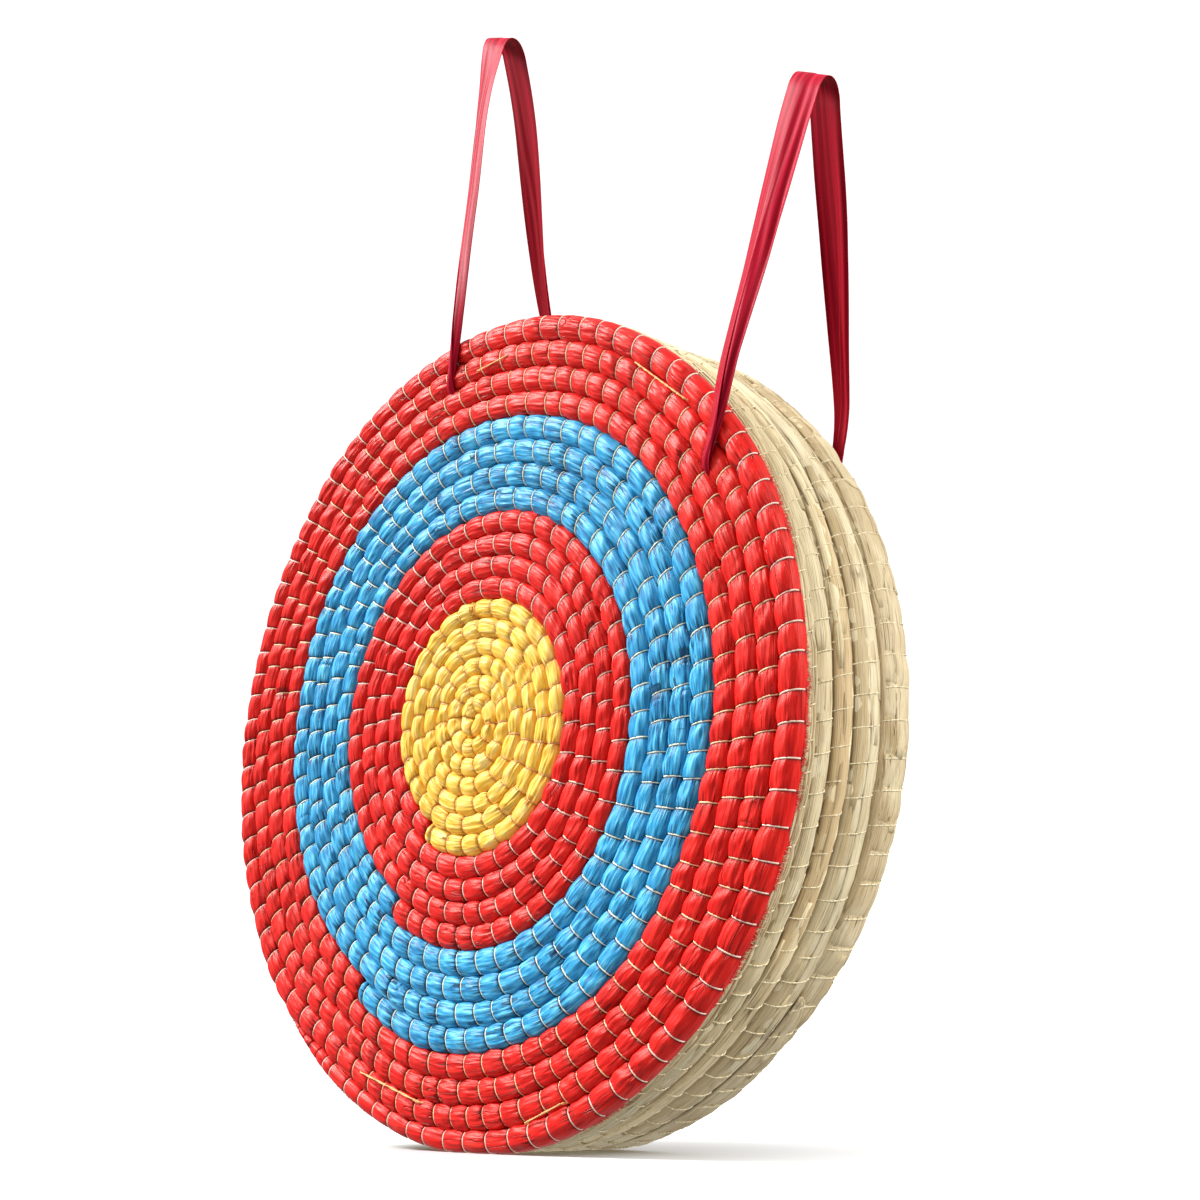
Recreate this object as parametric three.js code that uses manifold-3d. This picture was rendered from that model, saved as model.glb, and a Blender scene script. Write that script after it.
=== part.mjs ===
// Coiled straw archery target. Five flat mats, each one long straw rope wound in a spiral,
// are laced together with twine. The front mat's rope is wrapped in coloured raffia, and two
// ribbon hangers pass through the whole stack near the rim.
// Millimetres, +Z up. The stack stands on its rim, its face looks along -Y, and the origin is
// on the floor flat, under the middle mat.

import * as THREE from 'three';
import Module from 'manifold-3d';
import { mergeVertices } from 'three/addons/utils/BufferGeometryUtils.js';

const wasm = await Module();
wasm.setup();

const degrees = THREE.MathUtils.degToRad;

// Driving dimensions: the disc
const TARGET_DIAMETER = 500;
const TOUCH_GAP = 0.3; // between two pieces that touch
const COIL_GAP = 0.5; // between neighbouring turns of one rope
const FLOOR_CUT = 1.7; // rope pressed flat where the stack stands, a tenth of its thickness

// Driving dimensions: rope thickness of each mat, front to back
const FACE_DEPTH = 19;
const SECOND_DEPTH = 16.5;
const THIRD_DEPTH = 16.5;
const FOURTH_DEPTH = 24;
const BACK_DEPTH = 24.5;

// Driving dimensions: colour rings of the face, mean outer radius and turns of rope
const YELLOW_RADIUS = 75;
const INNER_RED_RADIUS = 129;
const BLUE_RADIUS = 189.4;
const YELLOW_TURNS = 7;
const RING_TURNS = 4;
const FACE_SEAM_ANGLE = degrees(236); // where one colour ends and the next begins

// Driving dimensions: the back mat and the rims of the inner mats
const BACK_CENTRE_RADIUS = 19.5;
const BACK_CENTRE_TURNS = 2;
const BACK_TURNS = 10;
const BACK_SEAM_ANGLE = degrees(304);
const RIM_ROPE_WIDTH = 15.5;

// Driving dimensions: ribbon hangers
const LEFT_HOLE_ANGLE = degrees(97.6);
const RIGHT_HOLE_ANGLE = degrees(31.1);
const LEFT_LEAN = degrees(-1);
const RIGHT_LEAN = degrees(11.2);
const LEFT_LOOP_HEIGHT = 264;
const RIGHT_LOOP_HEIGHT = 245;
const LEFT_HUG_HEIGHT = 46; // how far a leg lies along the mat before it leans in
const RIGHT_HUG_HEIGHT = 62;
const HANGER_HOLE_CLEARANCE = 0.75;
const RIBBON_WIDTH = 24;
const RIBBON_THICKNESS = 0.9;
const RIBBON_CLEARANCE = 0.9; // a leg in front of the ropes it crosses
const BUNCH_WIDTH = 6.4;
const BUNCH_THICKNESS = 5.6;
const NECK_WIDTH = 9;
const NECK_THICKNESS = 1.8;
const FOLD_DEPTH = 13;
const KNOT_RADIUS = 7;
const KNOT_END_RADIUS = 4.6;
const KNOT_DEPTH = 13;
const KNOT_BAND = 8;

// Driving dimensions: twine that laces the stack
const TWINE_RADIUS = 1;
const TWINE_KNOT_RADIUS = 2.2;

// Facet counts
const STEPS_PER_TURN = 24;
const BACK_STEPS_PER_TURN = 20;
const ROPE_SIDES = 6;
const HOLE_SIDES = 12;
const TWINE_HOLE_SIDES = 6;
const TWINE_SIDES = 8;
const KNOT_SIDES = 8;
const RIBBON_STEPS = 26;
const SCARF_STEPS = 3;
const FACE_COARSE_TURNS = 7; // small turns at the centre, which have every second step
const BACK_COARSE_TURNS = 6;

// Values worked out from the driving dimensions
const CUT_OVERRUN = TOUCH_GAP;
const RIM_RADIUS = TARGET_DIAMETER / 2;
const CENTRE_HEIGHT = RIM_RADIUS - FLOOR_CUT;
const STACK_DEPTH = FACE_DEPTH + SECOND_DEPTH + THIRD_DEPTH + FOURTH_DEPTH + BACK_DEPTH;
const FRONT_Y = -(FACE_DEPTH + SECOND_DEPTH + THIRD_DEPTH / 2);
const BACK_Y = FRONT_Y + STACK_DEPTH;
const STACK_MIDDLE_Y = (FRONT_Y + BACK_Y) / 2;
const HANGER_HOLE_RADIUS = Math.hypot(BUNCH_WIDTH, BUNCH_THICKNESS) / 2 + HANGER_HOLE_CLEARANCE;
const TWINE_HOLE_RADIUS = (TWINE_RADIUS + TOUCH_GAP) / Math.cos(Math.PI / TWINE_HOLE_SIDES);
const TWINE_BEND = TWINE_RADIUS + 2 * TOUCH_GAP;
const TWO_PI = 2 * Math.PI;

// Materials: colour, roughness, metalness
const MATERIALS = {
  yellow: [0xf2c53d, 0.55, 0],
  red: [0xe3281f, 0.5, 0],
  blue: [0x2b93d6, 0.5, 0],
  straw: [0xd8c497, 0.75, 0],
  ribbon: [0xb3143a, 0.35, 0],
  twine: [0xe0913c, 0.8, 0],
};

function makeMesh(name, geometry, look) {
  const [color, roughness, metalness] = MATERIALS[look];
  geometry.computeVertexNormals();
  const mesh = new THREE.Mesh(geometry, new THREE.MeshStandardMaterial({ color, roughness, metalness }));
  mesh.name = name;
  return mesh;
}

// Skin a run of equal point rings; the two ends are capped unless the run closes on itself.
function skin(rings, closed = false) {
  const sides = rings[0].length;
  const positions = rings.flat().flatMap((point) => [point.x, point.y, point.z]);
  const spans = closed ? rings.length : rings.length - 1;
  const faces = [];
  for (let ring = 0; ring < spans; ring += 1) {
    const here = ring * sides;
    const next = ((ring + 1) % rings.length) * sides;
    for (let side = 0; side < sides; side += 1) {
      const turn = (side + 1) % sides;
      faces.push([here + side, here + turn, next + turn], [here + side, next + turn, next + side]);
    }
  }
  const last = (rings.length - 1) * sides;
  for (let side = 1; side < sides - 1 && !closed; side += 1) {
    faces.push([0, side + 1, side], [last, last + side, last + side + 1]);
  }
  const corner = (index) => new THREE.Vector3().fromArray(positions, index * 3);
  const volume = faces.reduce(
    (sum, [a, b, c]) => sum + corner(a).dot(corner(b).cross(corner(c))), 0);
  const outward = volume > 0 ? faces : faces.map(([a, b, c]) => [a, c, b]);
  const geometry = new THREE.BufferGeometry();
  geometry.setAttribute('position', new THREE.Float32BufferAttribute(positions, 3));
  geometry.setIndex(outward.flat());
  return geometry;
}

function toSolid(geometry) {
  const bare = geometry.clone();
  bare.deleteAttribute('normal');
  bare.deleteAttribute('uv');
  const merged = mergeVertices(bare);
  return new wasm.Manifold(new wasm.Mesh({
    numProp: 3,
    vertProperties: merged.attributes.position.array,
    triVerts: new Uint32Array(merged.index.array),
  }));
}

function toGeometry(solid) {
  const mesh = solid.getMesh();
  const geometry = new THREE.BufferGeometry();
  geometry.setAttribute('position', new THREE.Float32BufferAttribute(mesh.vertProperties, 3));
  geometry.setIndex(new THREE.Uint32BufferAttribute(mesh.triVerts, 1));
  return geometry;
}

// Coiled mats. A place on a mat is a polar angle about the disc's axis, seen from the front,
// counted from +X towards +Z. Disc-frame geometry has its axis on Y and its centre at zero.

const onDisc = (angle, radius, y) =>
  new THREE.Vector3(radius * Math.cos(angle), y, radius * Math.sin(angle));

// A turn of rope is drawn as a polygon whose sides touch the true circle; this is how much
// further than the circle the polygon reaches at an angle.
function facetReach(angle, steps) {
  const facet = TWO_PI / steps;
  return 1 / Math.cos(angle - facet * Math.round(angle / facet));
}

// Six-sided cross-section of a rope between an inner and an outer radius: its flats look along
// Y, so mats lie flat on each other, and its corners meet the neighbouring turns.
function ropeRing(angle, inner, outer, depth, middleY, steps) {
  const middle = (inner + outer) / 2;
  const halfWidth = (outer - inner - COIL_GAP) / 2;
  const flatSine = Math.sin(TWO_PI / ROPE_SIDES);
  const halfDepth = (depth - TOUCH_GAP) / 2 / flatSine;
  return Array.from({ length: ROPE_SIDES }, (_, side) => {
    const around = (side / ROPE_SIDES) * TWO_PI;
    const radius = (middle + halfWidth * Math.cos(around)) * facetReach(angle, steps);
    return onDisc(angle, radius, middleY + halfDepth * Math.sin(around));
  });
}

// The end of a coil's rope: how far it runs on after its last whole turn, and how it tapers.
const TIP_TURNS = 0.04;
const TAPER_TURNS = 0.12;
const TIP_WIDTH_SHARE = 0.55;

// A spiral coil of zones of rope. Each turn lies against the one inside it, and the last turn
// thins so that the rim stays round, then tapers to the rope's tucked end.
class Coil {
  constructor(shape) {
    Object.assign(this, shape);
    this.bodyTurns = this.zones.reduce((sum, zone) => sum + zone.turns, 0);
    this.endTurn = this.bodyTurns + TIP_TURNS;
  }

  angleAt(turn) {
    return this.seamAngle + this.direction * turn * TWO_PI;
  }

  turnAt(angle, fullTurns) {
    const part = (this.direction * (angle - this.seamAngle)) / TWO_PI;
    return fullTurns + part - Math.floor(part);
  }

  widthOf(turn) {
    let passed = 0;
    for (const zone of this.zones) {
      passed += zone.turns;
      if (turn < passed) return zone.width;
    }
    return this.zones.at(-1).width;
  }

  innerEdge(turn) {
    const first = this.zones[0];
    return turn < first.turns + 1 ? first.width * Math.max(turn - 1, 0) : this.outerEdge(turn - 1);
  }

  outerEdge(turn, width = this.widthOf(turn)) {
    const inner = this.innerEdge(turn);
    const round = Math.min(inner + width, RIM_RADIUS);
    const taper = Math.max(turn - (this.endTurn - TAPER_TURNS), 0) / TAPER_TURNS;
    return inner + (round - inner) * (1 - (1 - TIP_WIDTH_SHARE) * taper);
  }

  ringAt(turn, width, swing) {
    const inner = this.innerEdge(turn);
    const outer = this.outerEdge(turn, width);
    const fullness = Math.sqrt(Math.min((outer - inner) / width, 1));
    const depth = this.depth * fullness;
    return ropeRing(this.angleAt(turn) + swing, inner, outer, depth, this.middleY, this.steps);
  }

  // Turns where a rope has a ring: its two ends, each seam crossing, and an even grid of
  // angles whose facets face straight down, up and sideways.
  ringTurns(from, to) {
    const step = 1 / this.steps;
    const leastSpacing = step / 5;
    const phase = ((this.seamAngle / TWO_PI) * this.steps - 0.5) * this.direction;
    const turns = [from, to];
    for (let whole = Math.ceil(from + step / 2); whole < to - step / 2; whole += 1) turns.push(whole);
    const firstMark = Math.ceil(from * this.steps + phase);
    const lastMark = Math.floor(to * this.steps + phase);
    for (let mark = firstMark; mark <= lastMark; mark += 1) {
      const turn = (mark - phase) / this.steps;
      const skipped = turn < this.coarseTurns && mark % 2 !== 0;
      const crowded = turns.some((other) => Math.abs(other - turn) < leastSpacing);
      if (!skipped && !crowded) turns.push(turn);
    }
    return turns.sort((a, b) => a - b);
  }

  // One unbroken rope from one turn to another, short of its neighbours by half the gap.
  rope(from, to) {
    const turns = this.ringTurns(from, to);
    const rings = turns.map((turn, index) => {
      const isEnd = index === turns.length - 1;
      const width = this.widthOf(isEnd ? turns[index - 1] : turn);
      const middle = (this.innerEdge(turn) + this.outerEdge(turn, width)) / 2;
      const swing = TOUCH_GAP / 2 / middle;
      const inward = isEnd ? -swing : swing;
      return this.ringAt(turn, width, index === 0 || isEnd ? this.direction * inward : 0);
    });
    return { rings, turns };
  }
}

// Least distance between points of a coil that lie more than half a turn apart along the rope.
function leastGap({ rings, turns }) {
  const points = [];
  rings.forEach((ring, index) => {
    ring.forEach((point, side) => {
      points.push([turns[index], point]);
      const next = rings[index + 1];
      if (next) points.push([(turns[index] + turns[index + 1]) / 2, point.clone().lerp(next[side], 0.5)]);
    });
  });
  let least = Infinity;
  for (const [turn, point] of points) {
    for (const [otherTurn, other] of points) {
      if (otherTurn - turn > 0.5) least = Math.min(least, point.distanceTo(other));
    }
  }
  return least;
}

// A first zone's mean outer radius is half a width short of its turns, because it starts at the
// disc's centre.
const faceCoil = new Coil({
  zones: [
    { name: 'face_yellow_coil', look: 'yellow', turns: YELLOW_TURNS,
      width: YELLOW_RADIUS / (YELLOW_TURNS - 0.5) },
    { name: 'face_inner_red_coil', look: 'red', turns: RING_TURNS,
      width: (INNER_RED_RADIUS - YELLOW_RADIUS) / RING_TURNS },
    { name: 'face_blue_coil', look: 'blue', turns: RING_TURNS,
      width: (BLUE_RADIUS - INNER_RED_RADIUS) / RING_TURNS },
    { name: 'face_outer_red_coil', look: 'red', turns: RING_TURNS,
      width: (RIM_RADIUS - BLUE_RADIUS) / RING_TURNS },
  ],
  seamAngle: FACE_SEAM_ANGLE,
  direction: -1,
  depth: FACE_DEPTH,
  middleY: FRONT_Y + FACE_DEPTH / 2,
  steps: STEPS_PER_TURN,
  coarseTurns: FACE_COARSE_TURNS,
});

const backCoil = new Coil({
  zones: [
    { turns: BACK_CENTRE_TURNS, width: BACK_CENTRE_RADIUS / (BACK_CENTRE_TURNS - 0.5) },
    { turns: BACK_TURNS, width: (RIM_RADIUS - BACK_CENTRE_RADIUS) / BACK_TURNS },
  ],
  seamAngle: BACK_SEAM_ANGLE,
  direction: 1,
  depth: BACK_DEPTH,
  middleY: BACK_Y - BACK_DEPTH / 2,
  steps: BACK_STEPS_PER_TURN,
  coarseTurns: BACK_COARSE_TURNS,
});

// Places of the holes through the stack

// The hangers pass between the second and third turns of the face, counted from the rim.
const hangerPlace = (angle) => {
  const turn = faceCoil.turnAt(angle, faceCoil.bodyTurns - 3);
  return onDisc(angle, faceCoil.outerEdge(turn) * facetReach(angle, faceCoil.steps), 0);
};

// Each tie crosses the face between two polar places, given as an angle and as a share of the
// rim radius, and runs straight through the stack at both.
const TIE_PLACE_SHARES = [
  [[degrees(90.2), 0.888], [degrees(82.7), 0.906]],
  [[degrees(54), 0.938], [degrees(41.2), 0.946]],
  [[degrees(243.9), 0.906], [degrees(260), 0.9]],
  [[degrees(282.3), 0.947], [degrees(290.1), 0.938]],
];
const tiePlaces = TIE_PLACE_SHARES.map((ends) =>
  ends.map(([angle, radiusShare]) => onDisc(angle, radiusShare * RIM_RADIUS, 0)));

function throughHole(place, radius, sides) {
  const length = STACK_DEPTH + 2 * CUT_OVERRUN;
  const drill = new THREE.CylinderGeometry(radius, radius, length, sides);
  drill.translate(place.x, STACK_MIDDLE_Y, place.z);
  return toSolid(drill);
}

// The block below the floor, which presses the ropes flat where the stack stands.
function floorBlock() {
  const block = new THREE.BoxGeometry(TARGET_DIAMETER, STACK_DEPTH + 2 * CUT_OVERRUN, RIM_RADIUS);
  block.translate(0, STACK_MIDDLE_Y, -CENTRE_HEIGHT - RIM_RADIUS / 2);
  return toSolid(block);
}

const throughCuts = [LEFT_HOLE_ANGLE, RIGHT_HOLE_ANGLE]
  .map((angle) => throughHole(hangerPlace(angle), HANGER_HOLE_RADIUS, HOLE_SIDES))
  .concat(tiePlaces.flat().map((place) => throughHole(place, TWINE_HOLE_RADIUS, TWINE_HOLE_SIDES)))
  .concat(floorBlock());

function cutThrough(geometry) {
  return toGeometry(throughCuts.reduce((solid, cut) => solid.subtract(cut), toSolid(geometry)));
}

// The front mat: one coil whose rope changes colour at the seam.
function addFace(disc) {
  let from = 1;
  let passed = 0;
  for (const zone of faceCoil.zones) {
    passed += zone.turns;
    const isRim = zone === faceCoil.zones.at(-1);
    const coil = faceCoil.rope(from, isRim ? faceCoil.endTurn : passed);
    const whole = skin(coil.rings);
    disc.add(makeMesh(zone.name, isRim ? cutThrough(whole) : whole, zone.look));
    console.log(`${zone.name}: least gap to itself ${leastGap(coil).toFixed(2)} mm`);
    from = passed;
  }
}

function addBack(disc) {
  const coil = backCoil.rope(1, backCoil.endTurn);
  disc.add(makeMesh('back_layer_coil', cutThrough(skin(coil.rings)), 'straw'));
  console.log(`back_layer_coil: least gap to itself ${leastGap(coil).toFixed(2)} mm`);
}

// An inner mat: a plain core, and the outer turn of its rope, whose two thinned ends lie side
// by side for a few steps as a scarf.
const SCARF_TIP_SHARE = 0.2;

function rimRope(depth, middleY, startStep) {
  const coreRadius = RIM_RADIUS - RIM_ROPE_WIDTH;
  const rings = [];
  const turns = [];
  for (let step = 0; step <= STEPS_PER_TURN + SCARF_STEPS; step += 1) {
    const angle = ((startStep + step + 0.5) / STEPS_PER_TURN) * TWO_PI;
    const into = Math.min(step / SCARF_STEPS, 1);
    const past = Math.max((step - STEPS_PER_TURN) / SCARF_STEPS, 0);
    const split = SCARF_TIP_SHARE + (1 - 2 * SCARF_TIP_SHARE) * (step < STEPS_PER_TURN ? into : past);
    const isScarfEnd = step >= STEPS_PER_TURN;
    const full = step > SCARF_STEPS && !isScarfEnd;
    const boundary = coreRadius + RIM_ROPE_WIDTH * split;
    const inner = isScarfEnd ? boundary : coreRadius;
    const outer = full || isScarfEnd ? RIM_RADIUS : boundary;
    rings.push(ropeRing(angle, inner, outer, depth, middleY, STEPS_PER_TURN));
    turns.push(step / STEPS_PER_TURN);
  }
  return { rings, turns };
}

function addInnerMat(disc, name, depth, middleY, startStep) {
  const coreRadius = (RIM_RADIUS - RIM_ROPE_WIDTH - COIL_GAP / 2) / Math.cos(Math.PI / STEPS_PER_TURN);
  const core = new THREE.CylinderGeometry(
    coreRadius, coreRadius, depth - TOUCH_GAP, STEPS_PER_TURN, 1, false, Math.PI / STEPS_PER_TURN);
  core.translate(0, middleY, 0);
  disc.add(makeMesh(`${name}_core`, cutThrough(core), 'straw'));
  const rope = rimRope(depth, middleY, startStep);
  disc.add(makeMesh(`${name}_rim_rope`, cutThrough(skin(rope.rings)), 'straw'));
  console.log(`${name}_rim_rope: least gap to itself ${leastGap(rope).toFixed(2)} mm`);
}

// Twine ties: a loop through two holes, knotted behind the back mat.
function tieGeometry([start, end]) {
  const chord = end.clone().sub(start);
  const along = chord.clone().normalize();
  const across = new THREE.Vector3(0, 1, 0);
  const side = along.clone().cross(across);
  const frontY = FRONT_Y - TOUCH_GAP / 2 - TWINE_RADIUS;
  const backY = BACK_Y + TOUCH_GAP / 2 + TWINE_RADIUS;
  const corners = [
    [TWINE_BEND, frontY + TWINE_BEND, Math.PI],
    [TWINE_BEND, backY - TWINE_BEND, Math.PI / 2],
    [chord.length() - TWINE_BEND, backY - TWINE_BEND, 0],
    [chord.length() - TWINE_BEND, frontY + TWINE_BEND, -Math.PI / 2],
  ];
  const rings = corners.flatMap(([cornerAlong, cornerY, startAngle]) =>
    [0, 0.5, 1].map((part) => {
      const angle = startAngle + (Math.PI / 2) * (1 - part);
      const outward = along.clone().multiplyScalar(Math.cos(angle)).addScaledVector(across, Math.sin(angle));
      const middle = start.clone().addScaledVector(along, cornerAlong);
      middle.y = cornerY;
      middle.addScaledVector(outward, TWINE_BEND);
      return Array.from({ length: TWINE_SIDES }, (_, index) => {
        const around = (index / TWINE_SIDES) * TWO_PI;
        return middle.clone()
          .addScaledVector(outward, TWINE_RADIUS * Math.cos(around))
          .addScaledVector(side, TWINE_RADIUS * Math.sin(around));
      });
    }));
  const knot = new THREE.IcosahedronGeometry(TWINE_KNOT_RADIUS, 1);
  const middle = start.clone().addScaledVector(chord, 0.5);
  knot.translate(middle.x, BACK_Y + TOUCH_GAP + TWINE_KNOT_RADIUS, middle.z);
  return toGeometry(toSolid(skin(rings, true)).add(toSolid(knot)));
}

// Ribbon hangers

// Flat oval with eight points, as shares of half its width and half its thickness.
const RIBBON_SECTION_SHARES = [
  [1, 0], [0.8, 1], [0, 1], [-0.8, 1], [-1, 0], [-0.8, -1], [0, -1], [0.8, -1],
];

const LOW_HEIGHT_SHARE = 0.3; // of the hug height, where a leg has reached its stand-off
const FLATTEN_SHARE = 0.25; // of the hug height, over which the bunched ribbon goes flat
const SPREAD_SHARE = 0.625; // of the free leg, over which the ribbon opens to its full width

// Route of the loop in the hanger's own plane, from the front hole to the knot behind. Depth
// runs from the face side to the back side, height from the hole's axis up.
function loopRoute(loopHeight, hugHeight) {
  const frontY = FRONT_Y - RIBBON_CLEARANCE - NECK_THICKNESS / 2;
  const bunchY = FRONT_Y - TOUCH_GAP - BUNCH_THICKNESS / 2;
  const knotY = BACK_Y + TOUCH_GAP + KNOT_DEPTH / 2;
  const foldFront = STACK_MIDDLE_Y - FOLD_DEPTH / 2;
  const foldBack = STACK_MIDDLE_Y + FOLD_DEPTH / 2;
  const lowHeight = hugHeight * LOW_HEIGHT_SHARE;
  const shoulder = (loopHeight + hugHeight) / 2;
  const knotTop = KNOT_RADIUS * Math.cos(Math.PI / KNOT_SIDES) + TOUCH_GAP;
  const points = [
    [bunchY, HANGER_HOLE_RADIUS],
    [frontY, lowHeight],
    [frontY, hugHeight],
    [(frontY + foldFront) / 2, shoulder],
    [foldFront, loopHeight - FOLD_DEPTH / 2],
    [STACK_MIDDLE_Y, loopHeight],
    [foldBack, loopHeight - FOLD_DEPTH / 2],
    [(knotY + foldBack) / 2, shoulder],
    [knotY, hugHeight],
    [knotY, knotTop + BUNCH_WIDTH],
    [knotY, knotTop],
  ];
  const route = new THREE.CatmullRomCurve3(
    points.map(([y, height]) => new THREE.Vector3(0, y, height)), false, 'centripetal');
  return { route, knotY };
}

// Width and thickness of the ribbon at a height: bunched at the holes, a narrow neck above
// them, and flat at full width near the fold.
function ribbonSize(height, loopHeight, hugHeight) {
  if (height < hugHeight) {
    const rise = Math.max(height - HANGER_HOLE_RADIUS, 0) / (hugHeight - HANGER_HOLE_RADIUS);
    return [
      THREE.MathUtils.lerp(BUNCH_WIDTH, NECK_WIDTH, rise),
      THREE.MathUtils.lerp(BUNCH_THICKNESS, NECK_THICKNESS, Math.min(rise / FLATTEN_SHARE, 1)),
    ];
  }
  const rise = Math.min((height - hugHeight) / (loopHeight - hugHeight) / SPREAD_SHARE, 1);
  return [
    THREE.MathUtils.lerp(NECK_WIDTH, RIBBON_WIDTH, Math.sin((rise * Math.PI) / 2)),
    THREE.MathUtils.lerp(NECK_THICKNESS, RIBBON_THICKNESS, rise),
  ];
}

function ribbonRing(point, tangent, [width, thickness]) {
  const across = new THREE.Vector3(1, 0, 0);
  const normal = tangent.clone().cross(across).normalize();
  return RIBBON_SECTION_SHARES.map(([widthShare, thicknessShare]) => point.clone()
    .addScaledVector(across, (widthShare * width) / 2)
    .addScaledVector(normal, (thicknessShare * thickness) / 2));
}

function ribbonGeometry(loopHeight, hugHeight) {
  const { route } = loopRoute(loopHeight, hugHeight);
  const bunch = [BUNCH_WIDTH, BUNCH_THICKNESS];
  const forward = new THREE.Vector3(0, -1, 0);
  const up = new THREE.Vector3(0, 0, 1);
  const backEnd = new THREE.Vector3(0, BACK_Y, 0);
  const frontMouth = new THREE.Vector3(0, FRONT_Y + BUNCH_THICKNESS / 2, 0);
  const bend = new THREE.Vector3(0, FRONT_Y - BUNCH_THICKNESS / 4, TOUCH_GAP);
  const rings = [
    ribbonRing(backEnd, forward, bunch),
    ribbonRing(frontMouth, forward, bunch),
    ribbonRing(bend, forward.clone().add(up).normalize(), bunch),
  ];
  for (let step = 0; step <= RIBBON_STEPS; step += 1) {
    const point = route.getPointAt(step / RIBBON_STEPS);
    const size = ribbonSize(point.z, loopHeight, hugHeight);
    if (step === 0) rings.push(ribbonRing(point, up, size));
    else if (step === RIBBON_STEPS) rings.push(ribbonRing(point, up.clone().negate(), size));
    else rings.push(ribbonRing(point, route.getTangentAt(step / RIBBON_STEPS), size));
  }
  return skin(rings);
}

// The knot behind the back mat: an eight-sided barrel with flat ends, so that both ends of
// the ribbon meet a flat side of it.
function knotGeometry(knotY) {
  const barrel = [
    [0, -KNOT_DEPTH / 2], [KNOT_END_RADIUS, -KNOT_DEPTH / 2], [KNOT_RADIUS, -KNOT_BAND / 2],
    [KNOT_RADIUS, KNOT_BAND / 2], [KNOT_END_RADIUS, KNOT_DEPTH / 2], [0, KNOT_DEPTH / 2],
  ].map(([radius, y]) => new THREE.Vector2(radius, y));
  const geometry = new THREE.LatheGeometry(barrel, KNOT_SIDES, Math.PI / KNOT_SIDES);
  geometry.translate(0, knotY, 0);
  return toGeometry(toSolid(geometry));
}

function hanger(side, holeAngle, lean, loopHeight, hugHeight) {
  const group = new THREE.Group();
  group.position.copy(hangerPlace(holeAngle));
  group.rotation.y = lean;
  const { knotY } = loopRoute(loopHeight, hugHeight);
  group.add(makeMesh(`${side}_hanger_ribbon`, ribbonGeometry(loopHeight, hugHeight), 'ribbon'));
  group.add(makeMesh(`${side}_hanger_knot`, knotGeometry(knotY), 'ribbon'));
  return group;
}

// Assembly

// Name, depth, middle in Y and the step at which the scarf of the outer turn starts
const INNER_MATS = [
  ['second_layer', SECOND_DEPTH, FRONT_Y + FACE_DEPTH + SECOND_DEPTH / 2, 9],
  ['third_layer', THIRD_DEPTH, 0, 1],
  ['fourth_layer', FOURTH_DEPTH, THIRD_DEPTH / 2 + FOURTH_DEPTH / 2, 14],
];

const target = new THREE.Group();
const disc = new THREE.Group();
disc.position.z = CENTRE_HEIGHT;
target.add(disc);

addFace(disc);
INNER_MATS.forEach((mat) => addInnerMat(disc, ...mat));
addBack(disc);
tiePlaces.forEach((ends, index) => {
  disc.add(makeMesh(`stack_tie_${index + 1}`, tieGeometry(ends), 'twine'));
});
disc.add(hanger('left', LEFT_HOLE_ANGLE, LEFT_LEAN, LEFT_LOOP_HEIGHT, LEFT_HUG_HEIGHT));
disc.add(hanger('right', RIGHT_HOLE_ANGLE, RIGHT_LEAN, RIGHT_LOOP_HEIGHT, RIGHT_HUG_HEIGHT));

export default target;
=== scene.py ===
# Coiled straw archery target, dressed around its fixed frame. Metres, +Z up, face towards -Y.

from math import cos, pi, radians, sin, tau

import bpy
import numpy as np
from mathutils import Matrix, Vector


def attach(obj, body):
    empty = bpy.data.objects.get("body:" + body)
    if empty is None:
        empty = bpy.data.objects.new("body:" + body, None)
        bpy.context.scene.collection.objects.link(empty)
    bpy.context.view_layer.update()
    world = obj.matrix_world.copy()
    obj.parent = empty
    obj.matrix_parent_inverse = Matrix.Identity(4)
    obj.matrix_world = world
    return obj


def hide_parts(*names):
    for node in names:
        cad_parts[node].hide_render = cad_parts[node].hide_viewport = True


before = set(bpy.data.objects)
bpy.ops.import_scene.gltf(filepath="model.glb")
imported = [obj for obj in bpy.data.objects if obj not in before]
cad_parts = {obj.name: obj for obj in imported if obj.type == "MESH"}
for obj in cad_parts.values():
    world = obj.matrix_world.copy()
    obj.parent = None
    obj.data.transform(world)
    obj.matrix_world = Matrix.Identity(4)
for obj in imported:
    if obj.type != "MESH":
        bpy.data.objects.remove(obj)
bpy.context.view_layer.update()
rng = np.random.default_rng(41)
scene = bpy.context.scene

MM = 0.001

# Disc, as in the part's source
RIM_RADIUS = 250 * MM
FLOOR_CUT = 1.7 * MM
CENTRE_HEIGHT = RIM_RADIUS - FLOOR_CUT
FACE_DEPTH, SECOND_DEPTH, THIRD_DEPTH = 19 * MM, 16.5 * MM, 16.5 * MM
FOURTH_DEPTH, BACK_DEPTH = 24 * MM, 24.5 * MM
FRONT_Y = -(FACE_DEPTH + SECOND_DEPTH + THIRD_DEPTH / 2)
BACK_Y = FRONT_Y + FACE_DEPTH + SECOND_DEPTH + THIRD_DEPTH + FOURTH_DEPTH + BACK_DEPTH
MIDDLE_Y = (FRONT_Y + BACK_Y) / 2
RIM_ROPE_WIDTH = 15.5 * MM

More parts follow.
